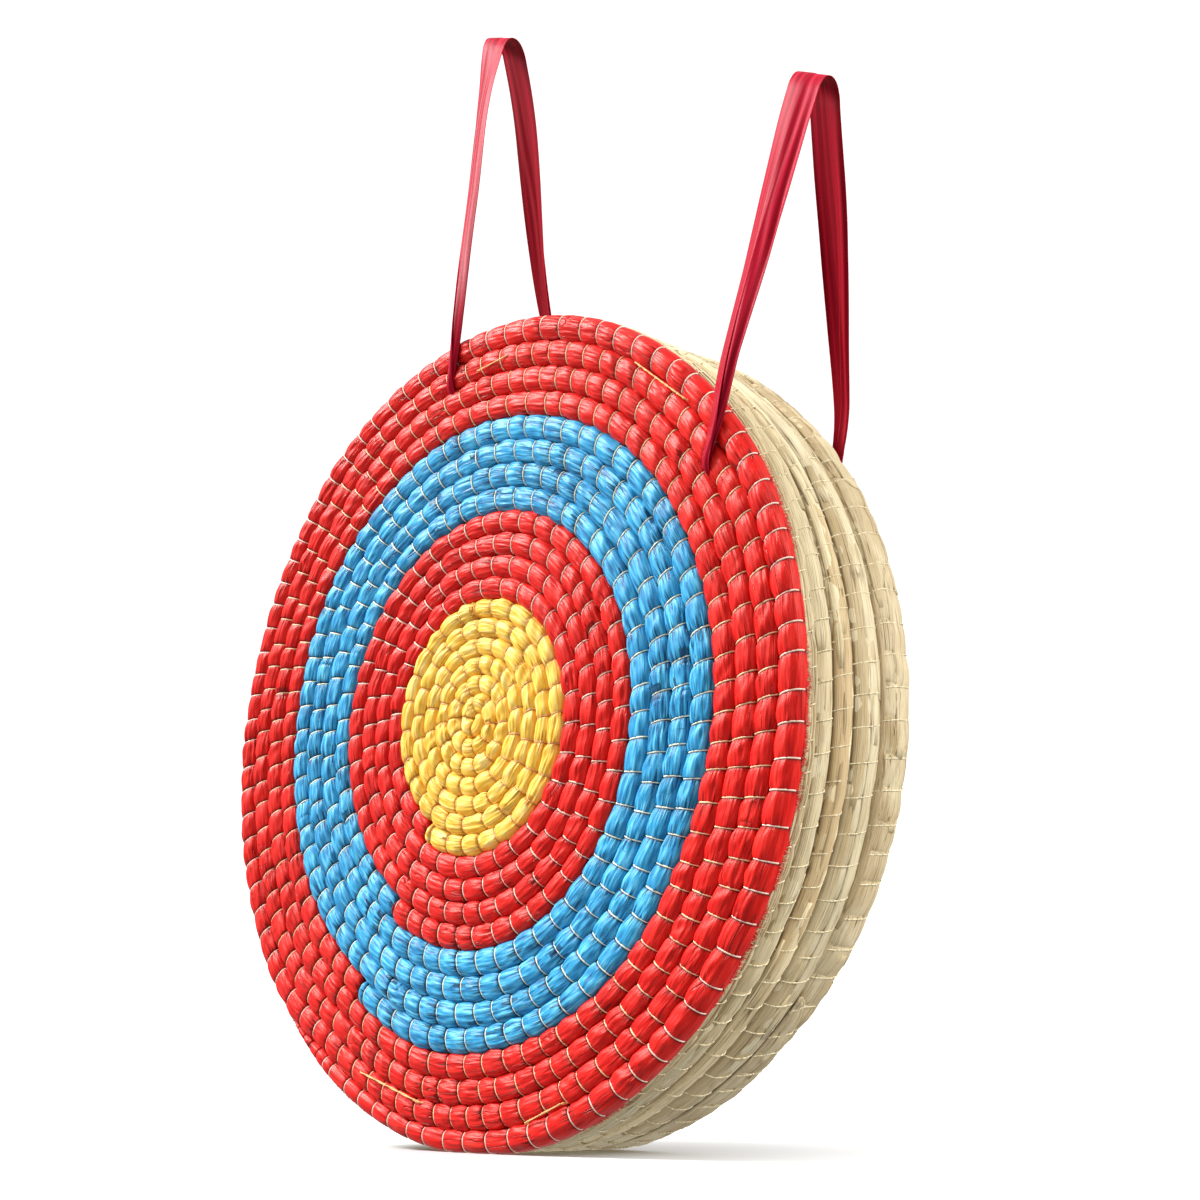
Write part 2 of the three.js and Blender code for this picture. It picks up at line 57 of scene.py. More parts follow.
# Colour rings of the face: piece name, look, whole turns, outer radius, thread
FACE_ZONES = [
    ("face_yellow", "raffia_yellow", 7, 75 * MM, "thread_yellow"),
    ("face_inner_red", "raffia_red", 4, 129 * MM, "thread_salmon"),
    ("face_blue", "raffia_blue", 4, 189.4 * MM, "thread_pale"),
    ("face_outer_red", "raffia_red", 4, RIM_RADIUS, "thread_gold"),
]
FACE_SEAM, BACK_SEAM = radians(236), radians(304)
BACK_TURNS = 12
START_TURN = 0.5
TIP_TURNS, TAPER_TURNS, TIP_WIDTH_SHARE = 0.04, 0.12, 0.55


# Arrays

def clamp(value):
    return np.clip(value, 0, 1)


def ease(value):
    return value * value * (3 - 2 * value)


def unit(vectors):
    return vectors / np.linalg.norm(vectors, axis=-1, keepdims=True)


def joined(*parts):
    """Arrays spread to one shape and stacked along a new last axis."""
    return np.stack(np.broadcast_arrays(*parts), axis=-1)


def by_table(value, table):
    return np.interp(value, *zip(*table))


NOISE_TABLE = rng.random(4096)
SEED_STRIDE = 57.31


def noise(x, seed):
    """Smooth noise from 0 to 1 along x, one track for each seed."""
    cell = np.floor(x)
    row = np.floor(np.asarray(seed, float) * SEED_STRIDE)
    low, high = (NOISE_TABLE[(cell + step + row).astype(int) % len(NOISE_TABLE)] for step in (0, 1))
    return low + (high - low) * ease(x - cell)


# Meshes

def add_object(name, data):
    obj = bpy.data.objects.new(name, data)
    scene.collection.objects.link(obj)
    return obj


def add_attribute(mesh, name, values):
    """A number for each point of a mesh, or a vector where values holds three for each."""
    vector = values.size == 3 * len(mesh.vertices)
    layer = mesh.attributes.new(name, "FLOAT_VECTOR" if vector else "FLOAT", "POINT")
    layer.data.foreach_set("vector" if vector else "value", values.astype(np.float32).ravel())


def skins(name, points, attributes=None, loop=False):
    """One object of closed tubes: points is [tubes, rings, section points, xyz]."""
    index = np.arange(points[..., 0].size).reshape(points.shape[:3])
    sides = points.shape[2]
    ahead = np.roll(index, -1, axis=1) if loop else index[:, 1:]
    here = index if loop else index[:, :-1]
    quads = np.stack([here, np.roll(here, -1, axis=2), np.roll(ahead, -1, axis=2), ahead], axis=-1)
    quads = quads.reshape(-1, 4)
    caps = np.zeros((0, sides), int) if loop else np.concatenate([index[:, 0, ::-1], index[:, -1]])
    middle = points[0].mean(axis=1)
    arms = points[0, 0] - middle[0]
    area = np.cross(arms, np.roll(arms, -1, axis=0)).sum(axis=0)
    if np.dot(area, middle[1] - middle[0]) < 0:
        quads, caps = quads[:, ::-1], caps[:, ::-1]
    mesh = bpy.data.meshes.new(name)
    mesh.vertices.add(index.size)
    mesh.vertices.foreach_set("co", points.astype(np.float32).ravel())
    corners = np.concatenate([quads.ravel(), caps.ravel()]).astype(np.int32)
    starts = np.concatenate([
        np.arange(len(quads)) * 4, quads.size + np.arange(len(caps)) * sides]).astype(np.int32)
    mesh.loops.add(len(corners))
    mesh.loops.foreach_set("vertex_index", corners)
    mesh.polygons.add(len(starts))
    mesh.polygons.foreach_set("loop_start", starts)
    mesh.update(calc_edges=True)
    mesh.validate()
    mesh.shade_smooth()
    for key, values in (attributes or {}).items():
        add_attribute(mesh, key, np.broadcast_to(values, index.shape + values.shape[3:]))
    return add_object(name, mesh)


def skin(name, points, attributes):
    """One closed tube: points and attributes are [rings, section points, ...]."""
    return skins(name, points[None], {key: values[None] for key, values in attributes.items()})


def circles(up, side, sides):
    """Unit circles across a path, in the plane of up and side."""
    around = (np.arange(sides) / sides * tau)[:, None]
    return np.cos(around) * up[..., None, :] + np.sin(around) * side[..., None, :]


def tubes_along(name, paths, outward, radius, sides=6, attributes=None):
    """Round tubes along paths [tubes, points, xyz], with outward giving one side of the section."""
    tangent = unit(np.gradient(paths, axis=1))
    side = unit(np.cross(tangent, outward))
    reach = np.broadcast_to(radius, paths.shape[:2])[:, :, None, None]
    ring = circles(np.cross(side, tangent), side, sides)
    return skins(name, paths[:, :, None] + reach * ring, attributes)


def dress(obj, look, body="root", replaces=()):
    obj.data.materials.append(MATERIALS[look])
    if replaces:
        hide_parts(*replaces)
    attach(obj, body)


# Coils

class Winding:
    """A rope laid round the disc's centre; turn counts from its inner end."""

    direction = 1

    def angle(self, turn):
        return self.seam + self.direction * tau * turn

    def length(self, turn):
        return turn * tau * self.middle(turn)


class Coil(Winding):
    """A spiral rope whose turns each lie on the one inside it, as in the part's source."""

    def __init__(self, widths, turns, seam, direction):
        self.widths, self.seam, self.direction = widths, seam, direction
        self.end = turns + TIP_TURNS

    def width(self, turn):
        return by_table(turn, self.widths) * np.minimum(turn, 1)

    def inner(self, turn):
        turn = np.asarray(turn, float)
        if not (turn >= 1).any():
            return np.zeros(turn.shape)
        return np.where(turn >= 1, self.outer(np.maximum(turn - 1, 0)), 0)

    def outer(self, turn):
        inner = self.inner(turn)
        full = np.minimum(inner + self.width(turn), RIM_RADIUS)
        taper = clamp((turn - self.end + TAPER_TURNS) / TAPER_TURNS)
        return inner + (full - inner) * (1 - (1 - TIP_WIDTH_SHARE) * taper)

    def middle(self, turn):
        return (self.inner(turn) + self.outer(turn)) / 2

    def half(self, turn):
        return (self.outer(turn) - self.inner(turn)) / 2


class Ring(Winding):
    """The outer turn of an inner mat, whose two thinned ends lie past each other."""

    end = 1.05
    tip_share, thinned, inward = 0.45, 0.55, 0.2

    def __init__(self, seam, reach):
        self.seam, self.reach = seam, reach

    def past(self, turn):
        return clamp((turn - 1) / (self.end - 1))

    def half(self, turn):
        into = clamp(turn / (self.end - 1))
        grown = self.tip_share + self.thinned * into
        return RIM_ROPE_WIDTH / 2 * grown * (1 - self.thinned * self.past(turn))

    def middle(self, turn):
        return self.reach - self.half(turn) - RIM_ROPE_WIDTH * self.inward * self.past(turn)


# Where the photograph's outer turns lie off the spiral, by polar angle in degrees, in mm
SETTLE = [(60, 0), (140, 1), (182, 2.7), (206, 4.4), (214, 4.4), (223, 1), (233, -6.2), (243, -6.2),
          (256, -3.6), (270, -4.6), (300, -3), (350, -1.5), (380, 0)]
SETTLE_WRAP = 20
SETTLE_RADIUS = 0.6 * RIM_RADIUS
PAST_RIM = 3 * MM


def settle(radius, angle, edge):
    """Radius moved as the outer turns settled round the tucked end of the rope."""
    degree = np.degrees(angle - radians(SETTLE_WRAP)) % 360 + SETTLE_WRAP
    shift = by_table(degree, SETTLE) * MM
    inside = clamp((radius - SETTLE_RADIUS) / (edge - SETTLE_RADIUS))
    outside = clamp((RIM_RADIUS - radius) / np.maximum(RIM_RADIUS - edge, MM))
    beyond = clamp((RIM_RADIUS + PAST_RIM - radius) / PAST_RIM) * (shift < 0)
    share = np.where(radius < edge, inside, np.where(shift < 0, outside * beyond, 1))
    return radius + shift * share


def wavy(radius, angle):
    """How far the laid ropes wander from the true spiral."""
    share = radius / RIM_RADIUS
    return share * MM * (0.8 * np.sin(3 * angle + 9 * share) + 0.5 * np.sin(7 * angle - 14 * share))


def on_disc(radius, angle, y):
    """A point of the disc, with what would sink into the floor pressed flat on it."""
    radius = radius + wavy(radius, angle)
    z = CENTRE_HEIGHT + radius * np.sin(angle)
    z = np.where(z < FLOOR_CUT, FLOOR_CUT * np.exp((z - FLOOR_CUT) / FLOOR_CUT), z)
    return joined(radius * np.cos(angle), y, z)


STITCH_SCATTER = 0.14


def stitch_turns(coil, start, end, spacing):
    """Turns at which a rope is stitched, about spacing(radius, turn) apart along it."""
    turns = [start]
    while turns[-1] < end:
        radius = max(coil.middle(np.array([turns[-1]]))[0], 3 * MM)
        step = spacing(radius, turns[-1]) * (1 + STITCH_SCATTER * (rng.random() - 0.5) * 2)
        turns.append(turns[-1] + step / (tau * radius))
    return np.append(turns[:-1], end)


RING_PARTS = np.array([0, 0.035, 0.09, 0.17, 0.28, 0.4, 0.52, 0.64, 0.75, 0.85, 0.925, 0.97])


def rope_rings(stitches):
    """Ring turns, place within the stitch and stitch number of a rope's rings."""
    spans = np.diff(stitches)
    turns = (stitches[:-1, None] + spans[:, None] * RING_PARTS).ravel()
    parts = np.tile(RING_PARTS, len(spans))
    numbers = np.repeat(np.arange(len(spans)), len(RING_PARTS))
    return np.append(turns, stitches[-1]), np.append(parts, 1.0), np.append(numbers, len(spans) - 1)


# Face rope: a straw rope covered with a band of raffia, pinched by every stitch

face_widths, face_turns, reached = [], 0, 0
for _, _, turns, radius, _ in FACE_ZONES:
    width = (radius - reached) / (turns if face_turns else turns - START_TURN)
    face_widths += [(face_turns + 0.4, width), (face_turns + turns - 0.4, width)]
    face_turns, reached = face_turns + turns, radius
face = Coil(face_widths, face_turns, FACE_SEAM, -1)

CREST, RIM_CREST = 5.6 * MM, 7.6 * MM
PINCH, SIDE_PINCH, SIDE_PUFF = 1.7 * MM, 1.0 * MM, 0.5 * MM
LEAN = 0.2
ARC_ROUNDNESS = 2.1
ARC = -np.cos(np.linspace(0, pi, 33))
FACE_ACROSS = np.concatenate([ARC, [1.0, 1.0, 0.985, 0.84, 0.8, -0.8, -1.0, -1.0]])
SIDE_BELOW = np.array([8.2, 9.0, 9.6, 10.1, 15, 15, 12, 8]) * MM
STITCH_STEP, RIM_STEP, TAIL_STEP = 16.5 * MM, 17.5 * MM, 9 * MM
CENTRE_STEP, STEP_GROWTH = 8.5 * MM, 0.125
RIM_STITCHES_FROM, TAIL_STITCHES = 18.2, 0.045
TAIL_TURNS, BARE_TAIL_TURNS = 0.035, 0.032
ZONE_GAP = 1e-6
THREAD_RADIUS, THREAD_LIFT, THREAD_BACK = 0.52 * MM, 0.4 * MM, 0.3 * MM


def rim_share(turn):
    """1 where the face rope is the free outermost turn, 0 where another turn lies outside it."""
    return clamp((turn - face.end + 1) / 0.1)


def crest_depth(across, turn):
    return np.where(across > 0, CREST + (RIM_CREST - CREST) * rim_share(turn), CREST)


def arc_below(arc, turn):
    """How far the section lies behind its crest, deeper on the free side of the rim."""
    round_off = np.maximum(1 - np.abs(arc) ** ARC_ROUNDNESS, 0) ** (1 / ARC_ROUNDNESS)
    return crest_depth(arc, turn) * (1 - round_off)


def face_surface(turn, part, number, across, below, lift=0.0, rough=1.0):
    """Points of the wrinkled raffia between stitches, as [rings, section points, xyz]."""
    turn, part, number = (np.asarray(v)[:, None] for v in (turn, part, number))
    puff = np.maximum(np.sin(pi * part), 0) ** 0.48
    half, middle = face.half(turn), face.middle(turn)
    crest = crest_depth(across, turn)
    front = clamp(1 - below / crest)
    side = np.sqrt(1 - front ** 2) * np.sign(across)
    front = np.where(below > crest, 0, front)

    # Pleats along the rope, fine folds and broad lumps
    span = (across * half + below * np.sign(across) * 0.6) / MM
    lively = 0.15 + 1.1 * noise(number * 0.73, 3) ** 1.5
    drift = np.floor(part * 0.9 + number * 7.7)
    pleats = (1 - np.abs(2 * noise(span * 0.42 + part * 0.5, drift + number) - 1)) ** 2
    fine = noise(span * 1.05 - part * 0.5, number + 400)
    lumps = (noise(span * 0.16 + 2.5 * part, number + 900)
             + noise(part * 2.5 + span * 0.08, number + 70))
    wrinkle = (0.85 * pleats * lively + 0.25 * fine) * (0.25 + 0.75 * puff)
    wrinkle = (wrinkle + (lumps - 1) * 0.8 * puff) * MM * rough

    # Gathers that run out from each stitch
    close = np.minimum(part, 1 - part)
    nearest = number + (part > 0.5)
    gather = (1 - np.abs(2 * noise(span * 0.55, nearest * 3 + 50) - 1)) ** 1.5 - 0.4
    gather = gather * np.exp(-(close / 0.2) ** 2) * clamp(close / 0.04)

    push = wrinkle + gather * 0.75 * MM + lift
    slim = np.clip(half / (6 * MM), 0.25, 1)
    slack = (1 - puff) * slim
    drop = below + (PINCH * slack - push * slim) * front
    even = 1 - 0.75 * rim_share(turn) * (across > 0)
    swell = SIDE_PUFF - (SIDE_PINCH + SIDE_PUFF) * slack * even + push * 0.7 * slim * even
    reach = across * half + side * swell
    skew = LEAN * across * half * clamp(1.6 - below / crest / 2)
    angle = face.angle(turn) + skew / np.maximum(middle + reach, 2 * MM)
    share = (face.seam - angle) / tau % 1
    last = face.end - TIP_TURNS - 1 + share - (share > 0.55)
    radius = settle(middle + reach, angle, face.outer(last))
    return on_disc(radius, angle, FRONT_Y + drop)


def face_spacing(radius, turn):
    if turn > face.end - TAIL_STITCHES:
        return TAIL_STEP
    steady = STITCH_STEP if turn < RIM_STITCHES_FROM else RIM_STEP
    return min(steady, CENTRE_STEP + STEP_GROWTH * radius)


def face_rope(zone, look, start, end, rough):
    """The rope of one colour zone of the face. Gives the turns of its stitches."""
    stitches = stitch_turns(face, start, end, face_spacing)
    turn, part, number = rope_rings(stitches)
    half, middle = face.half(turn), face.middle(turn)
    below = np.concatenate([
        arc_below(ARC, turn[:, None]),
        np.broadcast_to(SIDE_BELOW, (len(turn), len(SIDE_BELOW)))], axis=1)
    points = face_surface(turn, part, number, FACE_ACROSS, below, rough=rough)

    # Both ends close, and the tail also sinks under the turn inside it
    tuck = np.minimum((turn - start), (end - turn)) * tau * middle / (2.5 * MM)
    tuck = np.sqrt(np.clip(tuck, 0.5, 1))[:, None, None]
    heart = points.mean(axis=1, keepdims=True)
    points = heart + (points - heart) * np.where(np.arange(3) == 1, 0.6 + 0.4 * tuck, tuck)
    if zone == FACE_ZONES[-1][0]:
        sunk = clamp(1 - (end - turn) / TAIL_TURNS)[:, None, None] ** 1.5
        inward = (np.array([0, 0, CENTRE_HEIGHT]) - heart) * [1, 0, 1] / RIM_RADIUS
        core = heart + inward * half[:, None, None] * 0.9 + [0, 3 * MM, 0]
        points = points + (core - points) * sunk * 0.75

    across = (FACE_ACROSS * half[:, None] + below * np.sign(FACE_ACROSS) * 0.7) / MM
    free = rim_share(turn)[:, None] * (FACE_ACROSS > 0)
    # Painted shadow beside each stitch, stronger on the side the thread's shadow falls
    stitch_shadow = by_table(part, [(0, 1), (0.035, 1), (0.09, 0.2), (0.17, 0), (0.925, 0), (0.97, 0.4),
                           (1, 1)])
    away = np.minimum(part, 1 - part)
    nearest = number + (part > 0.5)
    gather = clamp(1 - away / 0.5) * clamp(1.5 * noise(nearest * 1.9, 8) - 0.2)
    obj = skin(f"{zone}_rope", points, {
        "rope": joined(across, (turn * tau * middle)[:, None] / MM, number[:, None] * 1.0),
        "fold": joined(across, (away * 16)[:, None], nearest[:, None] * 1.0),
        # Painted shade: darker deep in the section, in the grooves between turns
        "valley_shade": clamp(below / CREST) ** 3 * (1 - free),
        "tone": noise(number * 1.37, 12)[:, None],
        # seam: painted shadow beside each stitch
        "seam": stitch_shadow[:, None],
        "lively": (noise(number * 0.73, 3) ** 1.3)[:, None],
        "gather": gather[:, None]})
    dress(obj, look, replaces=[f"{zone}_coil"])
    return stitches


def face_threads(zone, look, turns):
    """Stitches across the rope of one colour zone, apart on the outermost turn."""
    arc = np.sin(np.linspace(-1.0, 1.0, 17) * pi / 2)
    before = turns - THREAD_BACK / (tau * face.middle(turns))
    paths = face_surface(before, np.zeros(len(turns)), np.arange(len(turns)), arc * 0.99,
                         arc_below(arc, turns[:, None]), lift=THREAD_LIFT, rough=0.3)
    outward = np.zeros_like(paths)
    outward[:, :, 1] = -1
    rim = turns > face.end - 1 - TIP_TURNS
    for name, thread_look, chosen in ((f"{zone}_stitches", look, ~rim),
                                      (f"{zone}_rim_stitches", "thread_cream", rim)):
        if chosen.any():
            obj = tubes_along(name, paths[chosen], outward[chosen], THREAD_RADIUS)
            dress(obj, thread_look)


# Straw ropes: bundles of husk strips, stitched at every turn

STRAW_INSET = 0.35 * MM
HUSK_THICKNESS = 0.35 * MM
STRAW_THREAD_RADIUS, STRAW_THREAD_LIFT = 0.42 * MM, 0.75 * MM


class StrawRope:
    """Straw round a coil: a power under 1 squares its section, and a tip closes its end."""

    def __init__(self, coil, middle_y, half_depth, seed, pinch=0.7 * MM, power=1.0, extra=0.0,
                 thinning=0.5, tip=0.0):
        self.coil, self.middle_y, self.half_depth = coil, middle_y, half_depth - STRAW_INSET
        self.seed, self.pinch, self.power, self.extra = seed, pinch, power, extra
        self.thinning, self.tip = thinning, tip

    def surface(self, turn, part, section, lift=0.0):
        """Points at a turn and an angle round the section, 0 outward and 90 degrees to the back."""
        half, middle = self.coil.half(turn), self.coil.middle(turn)
        fullness = np.minimum(half / np.max(half), 1) ** self.thinning
        middle_y = self.middle_y
        if self.tip:
            left = self.coil.end - turn
            closing = np.sqrt(np.clip(1 - (1 - clamp(left / self.tip)) ** 2, 0.03, 1))
            fullness = fullness * closing
            slim = 1 - np.minimum(half / np.max(half), 1)
            push = self.half_depth * (1 - fullness) * 0.9 + 2.2 * MM * slim
            middle_y = middle_y - push * clamp((1 - left) / 0.1)
        puff = np.sqrt(np.maximum(np.sin(pi * part), 0))
        length = turn * tau * middle / MM
        groove = noise(section * 7 + noise(length / 60, self.seed) * 3, self.seed + 5)
        groove = (groove - 0.5) * (0.6 * MM) + (noise(length / 25, self.seed + 9) - 0.5) * 0.8 * MM
        grow = groove - self.pinch * (1 - puff) + lift + self.extra
        cosine, sine = np.cos(section), np.sin(section)
        shaped = [np.sign(v) * np.abs(v) ** self.power for v in (cosine, sine)]
        radius = middle + half * shaped[0] + grow * cosine
        y = middle_y + self.half_depth * fullness * shaped[1] + grow * sine
        return on_disc(radius, self.coil.angle(turn), y)

    def valley_shade(self, turn, section):
        """Painted shade: 1 deep between the rope and its neighbours, 0 where it lies open."""
        across, deep = np.broadcast_arrays(np.cos(section), np.sin(section))
        inner = clamp((-across - 0.7) / 0.3)
        if isinstance(self.coil, Ring):
            return np.maximum(clamp((np.abs(deep) - 0.66) / 0.34), inner) ** 2
        free = clamp((turn - self.coil.end + 1.07) / 0.07)
        outer = free * clamp((-deep - 0.78) / 0.22) + (1 - free) * clamp((across - 0.7) / 0.3)
        return np.maximum(outer, inner) ** 2

    def coordinates(self, turn, section, number):
        """Millimetres round the section and along the rope, and the strip's number."""
        return joined(section * self.half_depth / MM, self.coil.length(turn) / MM, number * 1.0)


def straw_threads(name, rope, turns, sections):
    """Threads across a straw rope at the given turns, over a stretch of its section."""
    low, high = (np.asarray(v, float)[..., None] for v in sections)
    section = low + (high - low) * np.linspace(0, 1, 15)
    section = np.broadcast_to(section, (len(turns), 15))
    slant = (section - section.mean(axis=1, keepdims=True)) * 2.0 * MM
    turn = turns[:, None] + slant / (tau * rope.coil.middle(turns)[:, None])
    flat = np.zeros_like(turn)
    paths = rope.surface(turn, flat, section, STRAW_THREAD_LIFT)
    outward = rope.surface(turn, flat, section, STRAW_THREAD_LIFT + MM) - paths
    obj = tubes_along(name, paths, outward, STRAW_THREAD_RADIUS)
    dress(obj, "thread_tan")


def husks(name, rope, stitches, sections, look, width=(8, 14), length=(90, 230), lanes=2,
          lift=(0.1, 0.75)):
    """Overlapping flat strips that lie along a straw rope."""
    first, last = stitches[0], stitches[-1]
    turns, rings = [], 17
    for lane in range(lanes):
        here = first + rng.random() * 0.01
        while here < last:
            radius = max(rope.coil.middle(np.array([here]))[0], 8 * MM)
            span = rng.uniform(*length) * MM / (tau * radius)
            turns.append((lane, here, min(here + span * 1.15, last - (last - first) * 1e-4)))
            here += span
    lane, start, end = (np.array(v, float) for v in zip(*turns))
    count = len(start)
    strip = np.arange(count)[:, None, None]

    # Where each strip lies: its middle round the section, its half width and its stitches
    low, high = sections(start)
    place = (lane + 0.5 + rng.uniform(-0.35, 0.35, count)) / lanes
    middle = (low + (high - low) * place)[:, None, None]
    size = rng.uniform(*width, (count, 1, 1)) * MM / (rope.half_depth * 1.1) / 2
    along = np.linspace(-1, 1, rings)
    slim = 1 - 0.6 * np.abs(along) ** 7
    turn = start[:, None] + (end - start)[:, None] * np.linspace(0, 1, rings)
    number = np.clip(np.searchsorted(stitches, turn, side="right") - 1, 0, len(stitches) - 2)
    part = clamp((turn - stitches[number]) / (stitches[number + 1] - stitches[number]))
    q = np.linspace(-1, 1, 6)
    wander = (noise(np.linspace(0, 2, rings)[:, None], strip + 11) - 0.5) * 0.12
    section = middle + wander + size * slim[:, None] * q

    # How high it stands: flat in the middle, thin at its edges, its ends curled or tucked
    height = rng.uniform(*lift, (count, 1, 1)) * MM
    puff = np.sqrt(np.sin(pi * part))[:, :, None]
    edge = 1 - np.abs(q) ** 3 * rng.uniform(0.3, 1.3, (count, 1, 1))
    curl = (np.abs(along) ** 8)[:, None] * rng.uniform(-0.2, 0.6, (count, 1, 1))
    ripple = (noise(q * 2.2 + 5, strip + 77) - 0.5) * 0.35 * MM
    top = height * edge * (0.35 + 0.65 * puff) + curl * MM * edge + ripple
    both = np.concatenate([top, (top - HUSK_THICKNESS)[:, :, ::-1]], axis=2)
    around = np.concatenate([section, section[:, :, ::-1]], axis=2)
    turn = turn[:, :, None]
    obj = skins(name, rope.surface(turn, part[:, :, None], around, both), {
        "tint": rng.random(count)[:, None, None],
        "rope": rope.coordinates(turn, around, strip),
        "valley_shade": rope.valley_shade(turn, around)})
    dress(obj, look)


# Materials

BLACK, WHITE = (0, 0, 0), (1, 1, 1)


class Look:
    """A material in the making, whose methods add nodes and give the socket that comes out."""

    def __init__(self, name):
        self.material = bpy.data.materials.new(name)
        self.material.use_nodes = True
        self.tree = self.material.node_tree

    def feed(self, made, inputs):
        for key, value in inputs.items():
            if isinstance(value, bpy.types.NodeSocket):
                self.tree.links.new(value, made.inputs[key])
            else:
                made.inputs[key].default_value = value

    def node(self, kind, inputs=None, output=0, **settings):
        made = self.tree.nodes.new("ShaderNode" + kind)
        for key, value in settings.items():
            setattr(made, key, value)
        self.feed(made, inputs or {})
        return made.outputs[output]

    def shade(self, inputs):
        self.feed(self.tree.nodes["Principled BSDF"], inputs)
        return self.material

    def math(self, operation, a, b=0.0):
        return self.node("Math", {0: a, 1: b}, operation=operation)

    def attribute(self, name, output="Fac"):
        return self.node("Attribute", output=output, attribute_name=name)

    def scaled(self, name, *scale):
        """A vector attribute times a scale for each axis."""
        return self.node("VectorMath", {0: self.attribute(name, "Vector"), 1: scale},
                         operation="MULTIPLY")

    def noise(self, vector, detail, scale=1.0):
        return self.node("TexNoise", {
            "Vector": vector, "Scale": scale, "Detail": detail}, "Fac")

    def streaks(self, across, along, detail):
        """Noise stretched along the rope, in counts per millimetre across and along it."""
        return self.noise(self.scaled("rope", across, along, 1.0), detail)

    def bands(self, across, along, distortion):
        return self.node("TexWave", {
            "Vector": self.scaled("rope", across, along, 1.0), "Scale": 1.0,
            "Distortion": distortion}, "Fac", wave_type="BANDS", bands_direction="Y")

    def ramp(self, value, *stops):
        color = self.node("ValToRGB", {"Fac": value}, "Color")
        elements = color.node.color_ramp.elements
        for index, (place, tone) in enumerate(stops):
            element = elements[index] if index < 2 else elements.new(place)
            element.position = place
            element.color = (*tone, 1)
        return color

    def remap(self, value, low, high, to_low, to_high):
        return self.node("MapRange", {
            "Value": value, "From Min": low, "From Max": high, "To Min": to_low, "To Max": to_high})

    def layers(self, color, *layers):
        """Further colours laid over one: colour, mask and strength of each."""
        for over, mask, strength in layers:
            inputs = {0: self.math("MULTIPLY", mask, strength), 6: color, 7: (*over, 1)}
            color = self.node("Mix", inputs, 2, data_type="RGBA")
        return color

    def bumps(self, *bumps):
        """Bumps on bumps: height, strength and distance in mm of each."""
        under = {}
        for height, strength, distance in bumps:
            under["Normal"] = self.node("Bump", {
                "Height": height, "Strength": strength, "Distance": distance * MM, **under})
        return under["Normal"]

    def off_middle(self, field):
        return self.math("ABSOLUTE", self.math("SUBTRACT", field, 0.5))

    def lines(self, across, along, width):
        """Thin dark lines that run along the rope where a stretched noise passes its middle."""
        return self.remap(self.off_middle(self.streaks(across, along, 0.0)), 0.0, width, 1.0, 0.0)

    def gathers(self, creased):
        """Creases that start at a stitch, wide there, and run out along the rope."""
        offset = self.off_middle(self.noise(self.scaled("fold", 0.4, 0.012, 3.7), 0.0))
        reach = self.math("MULTIPLY", self.attribute("gather"), 0.042 * creased)
        share = self.math("DIVIDE", self.math("SUBTRACT", reach, offset), 0.014)
        return self.math("MINIMUM", self.math("MAXIMUM", share, 0.0), 1.0)


def raffia(name, dark, body, light, deep, gloss, creased=1.0):
    """Satin raffia band: lengthwise pleats and creases, a faint weave, with painted shade in the
    pleats' hollows, the creases, beside the stitches and in the valleys, and painted highlight on
    the pleats' crests.
    """
    look = Look(name)
    pleats = look.streaks(0.38, 0.03, 1.5)
    fibres = look.streaks(3.6, 0.1, 2.0)
    weave = look.bands(0.2, 1.4, 2.0)
    tone = look.ramp(look.attribute("tone"), (0.1, WHITE), (0.9, BLACK))
    some = look.ramp(look.attribute("lively"), (0.45, BLACK), (0.75, WHITE))
    long_creases = look.math("MULTIPLY", look.lines(0.24, 0.008, 0.018), some)
    slits = look.gathers(creased)
    # Painted light in the colour: pleats darker in their hollows and lighter on their crests, and
    # painted shade (deep) in the creases, the gathers by the stitches, beside each stitch (seam)
    # and in the valleys between turns; the fibres and each puff's tone are the raffia's own
    color = look.layers(
        look.ramp(pleats, (0.28, dark), (0.48, body), (0.72, light)),
        (light, fibres, 0.2), (dark, tone, 0.25), (deep, long_creases, 0.42), (deep, slits, 0.75),
        (deep, look.attribute("seam"), 0.8), (deep, look.attribute("valley_shade"), 0.85))
    sunk = look.math("MULTIPLY", look.math("MAXIMUM", long_creases, slits), -1.0)
    normal = look.bumps(
        (pleats, 0.75, 1.4), (sunk, 0.9, 0.7), (fibres, 0.28, 0.15), (weave, 0.12, 0.1))
    return look.shade({
        "Base Color": color, "Roughness": look.remap(fibres, 0.0, 1.0, 0.3, 0.55),
        "Specular IOR Level": 0.3, "Specular Tint": (*gloss, 1), "Normal": normal})


